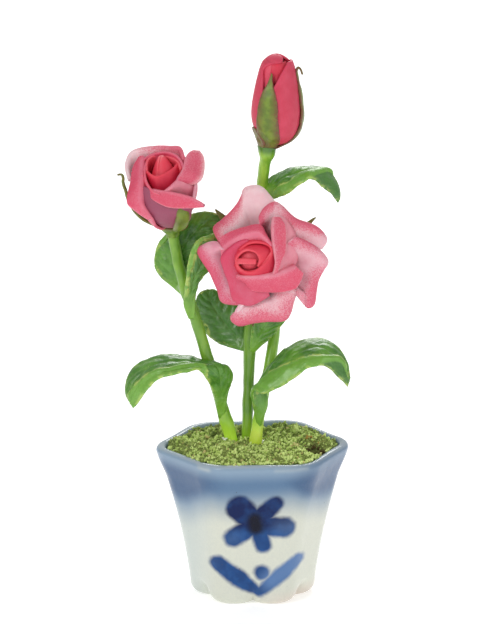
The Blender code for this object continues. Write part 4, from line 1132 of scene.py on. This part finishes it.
# Base and facing place a bloom, and its core is (radius, height, tone). A cup is (radius, height)
# from the stem up. A sepal is its heading, its run as (reach, height), its half widths along the
# run and, where it isn't the usual one, its thickness.
blooms = {
    "open": {
        "node": "open_rose", "sepalNode": "open_rose_calyx", "base": (0.9, -2.2, 53.8),
        "facing": (-0.22, -0.94, 0.2542), "stemEnd": 1.2, "core": (2.3, 6.8, 0.55),
        "petals": openPetals,
        "cup": ((0.3, -2.4), (0.9, -2.4), (1.1, -1.7), (1.6, -1), (1.9, -0.5), (1.9, 0), (1.2, 0.2),
                (0.3, 0.2)),
        "sepals": (
            (121, ((0.6, -1), (5, -0.6), (10.2, 0.9)), (1, 1.5, 0.1)),
            (25, ((0.6, -1), (5.4, -0.6), (11.2, 0.7)), (0.9, 1.1, 0.1)),
            (-24, ((0.6, -1), (5, -0.7), (8.6, 0.3)), (1, 1.1, 0.1)),
            (-104, ((0.6, -1), (5.6, -0.6), (10.4, 0.7)), (0.9, 0.9, 0.15)),
            (202, ((0.6, -1), (4.6, -0.7), (7.6, 0.3)), (1, 1.1, 0.1)),
        ),
    },
    "half": {
        "node": "half_open_rose", "sepalNode": "half_open_rose_calyx", "base": (-12.6, -0.8, 59.2),
        "facing": (-0.12, -0.38, 0.915), "stemEnd": 0.8, "core": (1.6, 8, 0.75),
        "petals": halfPetals,
        "cup": ((0.3, -2.2), (1, -2.2), (1.15, -1.5), (1.5, -0.9), (1.85, -0.3), (2, 0.2), (1.5, 0.4),
                (0.3, 0.3)),
        "sepals": (
            (180, ((0.6, -0.6), (2.8, 0.4), (4.7, 2.1), (5.75, 4.8), (6.15, 6.8), (6.3, 8.7), (6.2, 9.5),
             (6.4, 10.2), (7.05, 10.25)), (0.5, 0.6, 0.6, 0.7, 0.55, 0.28, 0.18, 0.14, 0.1), 0.5),
            (-62, ((2.1, 0.5), (3, 1.1), (3.8, 2.1), (4.5, 3.3), (4.8, 4.5), (4.7, 5.6), (4.3, 6.3)),
             (0.6, 1.05, 1.25, 1.25, 1.1, 0.85, 0.45), 1.3),
            (70, ((0.6, -1), (2, -0.9), (3, -0.5)), (0.9, 0.9, 0.1)),
            (118, ((0.6, -1), (2, -0.9), (3.2, -0.5)), (0.9, 0.9, 0.1)),
            (5, ((0.6, -1), (1.8, -1), (2.6, -0.8)), (0.9, 0.9, 0.1)),
        ),
    },
    "bud": {
        "node": "bud", "sepalNode": "bud_calyx", "base": (2.4, 0.8, 71.6), "facing": (0.15, -0.03, 1),
        "stemEnd": 0.3, "core": (1.85, 12.3, 0.9),
        "lean": ((-0.8, 0, 0), (0, 0.3, 0), (0.9, 0.62, 0), (2, 0.74, 0), (3.6, 0.58, 0), (5.6, 0.38, 0),
                 (7.9, 0.12, 0), (10.1, -0.1, 0), (12.2, -0.36, 0), (14.2, -0.7, 0)),
        "petals": budPetals,
        "cup": ((0.3, -0.9), (1.25, -0.9), (1.35, -0.5), (1.65, 0), (2.15, 0.6), (2.75, 1.2), (3.25, 1.8),
                (3.5, 2.3), (3.15, 2.2), (2.2, 1.2), (0.8, 0.5)),
        "cupDip": (-45, 0.24),  # heading and depth of the side where the cup sinks behind the petals
        "sepals": (
            (-110, ((1.5, -0.4), (2.6, 0.9), (3.55, 2.4), (4.1, 4.2), (4.1, 6.2), (3.75, 8.2), (3.15, 10),
             (2.75, 11.6)), (1.3, 1.8, 1.85, 1.75, 1.6, 1.2, 0.5, 0.08)),
            (-6, ((1.3, -0.5), (2.6, 0.7), (3.5, 2), (4.1, 3.65), (4.2, 5.6), (3.9, 7.9), (3.35, 10.1),
             (2.95, 11.9), (3.15, 12.5), (3.55, 12.3), (3.9, 11.6)),
             (1, 1.5, 1.5, 1.3, 1.1, 0.9, 0.6, 0.3, 0.15, 0.12, 0.08)),
            (62, ((1.5, -0.4), (2.6, 0.8), (3.6, 2.4), (4.1, 4.6), (3.9, 7.2)), (1.2, 1.7, 1.5, 1, 0.1)),
            (130, ((1.5, -0.4), (2.5, 0.8), (3.4, 2.4), (3.95, 4.6), (3.85, 7)), (1.2, 1.7, 1.5, 1, 0.1)),
            (200, ((1.5, -0.4), (2.3, 0.5), (3.1, 1.5), (3.4, 2.1), (3.45, 2.45)),
             (1.3, 1.7, 1.6, 1.2, 0.3)),
        ),
    },
}


def polar(turn, reach, height):
    return np.stack([reach * np.cos(turn), reach * np.sin(turn), height + 0 * turn], -1)


def smoothRows(rows, up):  # a smooth sheet through rows of points, and how far up each row lies
    rows = np.array(rows)
    gaps = np.linalg.norm(np.diff(rows, axis=0), axis=-1).mean(1)
    at = np.concatenate([[0], np.cumsum(gaps)]) / gaps.sum()
    slopes = np.gradient(rows, at, axis=0)
    left = np.clip(np.searchsorted(at, up, "right") - 1, 0, len(at) - 2)
    wide = (at[left + 1] - at[left])[:, None, None]
    t = ((up - at[left]) / (at[left + 1] - at[left]))[:, None, None]
    a, b = rows[left], rows[left + 1]
    step = np.linalg.norm(b - a, axis=-1, keepdims=True)

    def handle(slope):  # never longer than the step it serves
        reach = slope * wide
        length = np.maximum(np.linalg.norm(reach, axis=-1, keepdims=True), 1e-6)
        return reach * np.minimum(step / length, 1) / 3

    return bezier(a, a + handle(slopes[left]), b - handle(slopes[left + 1]), b, t), at


def leant(points, lean):  # moved across and back, by amounts that depend on the height
    heights, across, back = np.array(lean).T
    moved = np.array(points)
    moved[..., 0] += np.interp(points[..., 2], heights, across)
    moved[..., 1] += np.interp(points[..., 2], heights, back)
    return moved


def petalSurface(petal, up, across):  # and how far up it is folded over, 1 where it isn't
    if "bands" in petal:
        rows = [polar(np.radians(mix(first, last, across)), radius, height)
                for first, last, radius, height in petal["bands"]]
        surface = smoothRows(rows, up)[0]
        return leant(surface, petal["lean"]) if "lean" in petal else surface, 1.0
    lip = through(petal["lip"], across)
    guide = through(petal["middle"], across) if "middle" in petal else lip
    turn = np.unwrap(np.arctan2(guide[:, 1], guide[:, 0]))
    reach, height = np.hypot(guide[:, 0], guide[:, 1]), guide[:, 2]
    centre, opening = turn.mean(), petal.get("opening", 0.1)
    rows = [polar(centre + (turn - centre) * (1 + opening), *petalShared["foot"])]
    for outShare, upShare in petal.get("body", ()):
        opened = centre + (turn - centre) * (1 + opening * (1 - upShare))
        rows.append(polar(opened, outShare * reach, upShare * height))
    if "middle" in petal:
        rows.append(guide)
    rows.append(lip)
    if "rim" in petal:
        rows.append(through(petal["rim"], across))
    elif "turned" in petal:  # a narrow edge bent back behind the lip
        drawnIn = lip * (0.985, 0.985, 1)
        rows[-1] = drawnIn + (0, 0, 0.12)
        rows.append(drawnIn - (0, 0, petal["turned"]))
    surface, at = smoothRows(rows, up)
    return surface, at[-2] if "rim" in petal else 1.0


def petalFinish():
    finish, tree, shader, place = startFinish(
        "petalClay", Roughness=0.55, Coat_Weight=0.05, Coat_Roughness=0.4,
        Subsurface_Weight=0.10, Subsurface_Scale=0.0008)
    shader.inputs["Subsurface Radius"].default_value = (1.0, 0.35, 0.3)
    warm = vertexValue(tree, "warm")
    cloudy = calc(tree, "MULTIPLY_ADD", grain(tree, place, 1.4, 3), 0.26, -0.13)
    tone = calc(tree, "ADD", vertexValue(tree, "tone"), cloudy)
    pinks = ramp(tree, tone, (0.0, petalShared["pale"]), (0.42, petalShared["pink"]),
                 (0.78, petalShared["deep"]), (1.0, petalShared["crimson"]))
    corals = ramp(tree, tone, (0.25, petalShared["paleCoral"]), (0.66, petalShared["coral"]),
                  (1.0, petalShared["deepCoral"]))
    colour = blendColours(tree, warm, pinks, corals)
    # painted shade on the back of a petal
    colour = blendColours(tree, vertexValue(tree, "backShade"), colour, petalShared["backShade"])
    # airbrushed speckles, closer together where spray is higher
    speckles = grade(tree, grain(tree, place, 0.17, 2, 0.7), 0.36, 0.66)
    cover = calc(tree, "MULTIPLY_ADD", vertexValue(tree, "spray"), 1.5, -0.62)
    cover = grade(tree, calc(tree, "MULTIPLY_ADD", speckles, 0.6, cover), -0.2, 1.15, 0.0, 0.86)
    sprayed = blendColours(tree, warm, petalShared["sprayed"], petalShared["sprayedWarm"])
    feed(tree, shader.inputs["Base Color"], blendColours(tree, cover, colour, sprayed))
    bump(tree, shader, grain(tree, place, 0.22, 3), 0.035)
    return finish


def petalPaint(petal, fold, up, across, toLip, toSide, side, spread):
    blush = through(petal.get("blush", (0.3, 0.3)), across)[None, :]
    warm = petal.get("warm", 0.0)
    toRim = np.minimum(toLip, toSide * 1.3)
    spray = blush * bell(np.maximum(toRim - petal.get("turned", 0), 0), petal.get("band", 1.0))
    if fold < 1:  # a folded lip is sprayed all over, and more towards its rim
        base, more = petalShared["folded"]
        folded = ease((up - fold + 0.03) / 0.06) * (base + more * (up - fold) / (1 - fold))
        spray = folded[:, None] * mix(0.4, 1.0, blush)
    light = bell(toRim, petal.get("edgeHighlight", 0.13))  # painted highlight: the very rim is kept lighter, with less spray
    spray = spray * (1 - 0.75 * light)
    deepIn = 1 - ease(up / 0.55)[:, None]
    tone = mix(petal["tone"] + 0 * spray, max(petal["tone"], 0.55), deepIn * 0.5)
    tone = tone + warm * 0.34 * (1 - np.exp(-toLip / 0.9))
    # a paler tone there as well, for a stronger painted highlight
    if "edgeHighlight" in petal:
        tone = tone - 0.25 * light
    # painted shade on the back of the petal
    backShade = np.where(side > 0.75, 0.85 * petal.get("backShade", 0.0), 0)
    return {"tone": spread(tone), "spray": spread(spray), "warm": np.full(len(side), warm), "backShade": backShade}


def calyxFinish():
    finish, tree, shader, place = startFinish(
        "calyxClay", Roughness=0.45, Coat_Weight=0.15, Coat_Roughness=0.3)
    tone = grade(tree, grain(tree, place, 1.2, 3), 0.35, 0.68)
    colour = blendColours(tree, tone, calyxShared["dark"], calyxShared["light"])
    browned = grade(tree, grain(tree, place, 0.3, 3), 0.3, 0.6, 0.5, 1.0)
    edge = calc(tree, "MULTIPLY", vertexValue(tree, "margin"), browned)
    feed(tree, shader.inputs["Base Color"], blendColours(tree, edge, colour, calyxShared["brown"]))
    bump(tree, shader, grain(tree, place, 0.3, 3), 0.06)
    return finish


def coreTube(core):  # what the petals are pressed on
    radius, height, _ = core
    profile = [(radius * 0.6 * s, 0.0) for s in (0.2, 0.6)]
    for s in np.linspace(0, 1, 20):
        swell = 0.6 + 0.4 * math.sin(min(s * 4, 1) * math.pi / 2)
        profile.append((radius * swell * math.sqrt(max(1 - s**7, 0.002)), height * s))
    return tube(np.array([polar(turns(calyxShared["sides"]), r, z) for r, z in profile]))


def cupTube(bloom):
    angle = turns(calyxShared["sides"])
    fluted = 1 + calyxShared["fluting"] * np.cos(5 * angle)
    heading, depth = bloom.get("cupDip", (0, 0))
    aside = (angle - math.radians(heading) + math.pi) % (2 * math.pi) - math.pi
    sunk = depth * bell(aside, 0.95)
    rings = [polar(angle, r * fluted * (1 - sunk * ease((z + 0.3) / 0.8)), z)
             for r, z in through(bloom["cup"], np.linspace(0, 1, calyxShared["cupRings"]))]
    return tube(np.array(rings))


def sepalShell(number, heading, run, widths, thickness=None):
    rows, columns = calyxShared["cells"]
    up, across = spaced(rows, 0.03), spaced(columns, 0.1, True) * 2 - 1
    line = through(run, up)
    outline = np.maximum(through(widths, up), 0.05)[:, None]
    a = math.radians(heading)
    radial = np.array((math.cos(a), math.sin(a), 0))
    sideways = np.array((-math.sin(a), math.cos(a), 0))
    centre = line[:, :1] * radial + line[:, 1:] * np.array((0, 0, 1.0))
    v = across[None, :, None]
    wide = outline[..., None]
    curve = 0.5 * wide**2 / np.maximum(np.abs(line[:, :1, None]), 2.0)  # hugs a round bloom
    surface = centre[:, None] + sideways * (v * wide) - radial * (v**2 * curve)
    surface = surface + calyxShared["unevenness"] * wobble(surface, 1.4, 90 + number)[..., None]
    points, faces, spread, _, toLip, toSide = clayShell(surface, thickness or calyxShared["thickness"])
    margin = np.exp(-((np.minimum(toSide, toLip * 0.5) / (0.55 * outline)) ** 1.5))
    if thickness:  # greener, with a brown tip
        margin, tinged = 0.5 * margin, 0.12 + 0.5 * ease((up - 0.75) / 0.2)
    else:
        tinged = np.maximum(0.5 * ease((up - 0.7) / 0.25), 0.75 * (1 - ease(up / 0.3)))
    return points, faces, spread(np.maximum(margin, tinged[:, None]))


def makeBloom(name, bloom, petalClay, calyxClay):
    turn, base = facing(bloom["facing"]), np.array(bloom["base"])
    node, sepalNode = bloom["node"], bloom["sepalNode"]

    def placed(points):
        return base + leant(points, bloom.get("lean", ((0, 0, 0),))) @ turn.T

    rows, columns = petalShared["cells"]
    up, across = spaced(rows, 0.028), spaced(columns, 0.028, True)
    for number, (label, petal) in enumerate(bloom["petals"].items()):
        surface, fold = petalSurface(petal, up, across)
        uneven = unit(surface) * wobble(surface, 4.0, 80 + number)[..., None]
        surface = surface + petalShared["unevenness"] * ease(up / 0.8)[:, None, None] * uneven
        points, faces, spread, side, toLip, toSide = clayShell(surface, petalShared["thickness"])
        values = petalPaint(petal, fold, up, across, toLip, toSide, side, spread)
        meshPiece(name + "Petal" + label, placed(points), [faces], petalClay, node, "petal", values)
    points, faces = coreTube(bloom["core"])
    values = {"tone": bloom["core"][2], "spray": 0.3, "warm": 0.9, "backShade": 0.0}
    values = {label: np.full(len(points), value) for label, value in values.items()}
    meshPiece(name + "Core", placed(points), faces, petalClay, node, "petal", values)
    points, faces = cupTube(bloom)
    values = {"margin": 0.8 * ease((points[:, 2] + 0.6) / 1.5)}
    meshPiece(name + "Cup", placed(points), faces, calyxClay, sepalNode, "calyx", values)
    for number, sepal in enumerate(bloom["sepals"]):
        points, faces, margin = sepalShell(number, *sepal)
        label, values = f"{name}Sepal{number + 1}", {"margin": margin}
        meshPiece(label, placed(points), [faces], calyxClay, sepalNode, "calyx", values)
    print(name, "made,", len(bloom["petals"]), "petals")


studio = {
    "target": (0, 0, 44.3),
    "distance": 1200,
    "elevation": 14.5,
    "field": 625 * 0.155,  # across the sensor, at the target
    "sensor": 36,
    "shift": (-2.7 / 625, 0.0045),
    "world": 0.50,
    "floor": 0.94,
    "floorReach": 6.0,  # metres
    "glow": 0.36,  # the floor's own light, which keeps it white
    "lights": (  # place, size, watts
        ((-260, -330, 330), 180, 0.75),
        ((300, -260, 200), 220, 0.3),
        ((40, 320, 300), 220, 0.8),
    ),
}


def makeStudio():
    scene = bpy.context.scene
    target = Vector(studio["target"]) * mm
    tilt = math.radians(studio["elevation"])
    camera = bpy.data.objects.new("camera", bpy.data.cameras.new("camera"))
    camera.location = target + Vector((0, -math.cos(tilt), math.sin(tilt))) * studio["distance"] * mm
    camera.rotation_euler = (math.pi / 2 - tilt, 0, 0)
    camera.data.sensor_width = studio["sensor"]
    camera.data.lens = studio["sensor"] * studio["distance"] / studio["field"]
    camera.data.shift_x, camera.data.shift_y = studio["shift"]
    camera.data.clip_start, camera.data.clip_end = 0.01, 20
    scene.collection.objects.link(camera)
    scene.camera = camera
    for number, (place, size, watts) in enumerate(studio["lights"]):
        lamp = bpy.data.lights.new(f"softbox{number + 1}", "AREA")
        lamp.size, lamp.energy = size * mm, watts
        light = bpy.data.objects.new(lamp.name, lamp)
        light.location = Vector(place) * mm
        light.rotation_euler = (target - light.location).to_track_quat("-Z", "Y").to_euler()
        scene.collection.objects.link(light)
    world = bpy.data.worlds.new("studio")
    world.use_nodes = True
    world.node_tree.nodes["Background"].inputs["Color"].default_value = (1, 1, 1, 1)
    world.node_tree.nodes["Background"].inputs["Strength"].default_value = studio["world"]
    scene.world = world
    scene.view_settings.view_transform = "Standard"
    paper, _, shader, _ = startFinish("paperFloor", Roughness=0.9, Specular_IOR_Level=0.1)
    shader.inputs["Base Color"].default_value = (studio["floor"],) * 3 + (1,)
    shader.inputs["Emission Color"].default_value = (1, 1, 1, 1)
    shader.inputs["Emission Strength"].default_value = studio["glow"]
    mesh = bpy.data.meshes.new("floor")
    reach = studio["floorReach"]
    corners = [(-reach, -reach, 0), (reach, -reach, 0), (reach, reach, 0), (-reach, reach, 0)]
    mesh.from_pydata(corners, [], [(0, 1, 2, 3)])
    mesh.materials.append(paper)
    floor = bpy.data.objects.new("floor", mesh)
    scene.collection.objects.link(floor)
    print("Studio lit")


makeStudio()
makePot()
makeMoss()
makeStems()
makeLeaves()
petalClay, calyxClay = petalFinish(), calyxFinish()
makeBloom("openRose", blooms["open"], petalClay, calyxClay)
makeBloom("halfRose", blooms["half"], petalClay, calyxClay)
makeBloom("bud", blooms["bud"], petalClay, calyxClay)
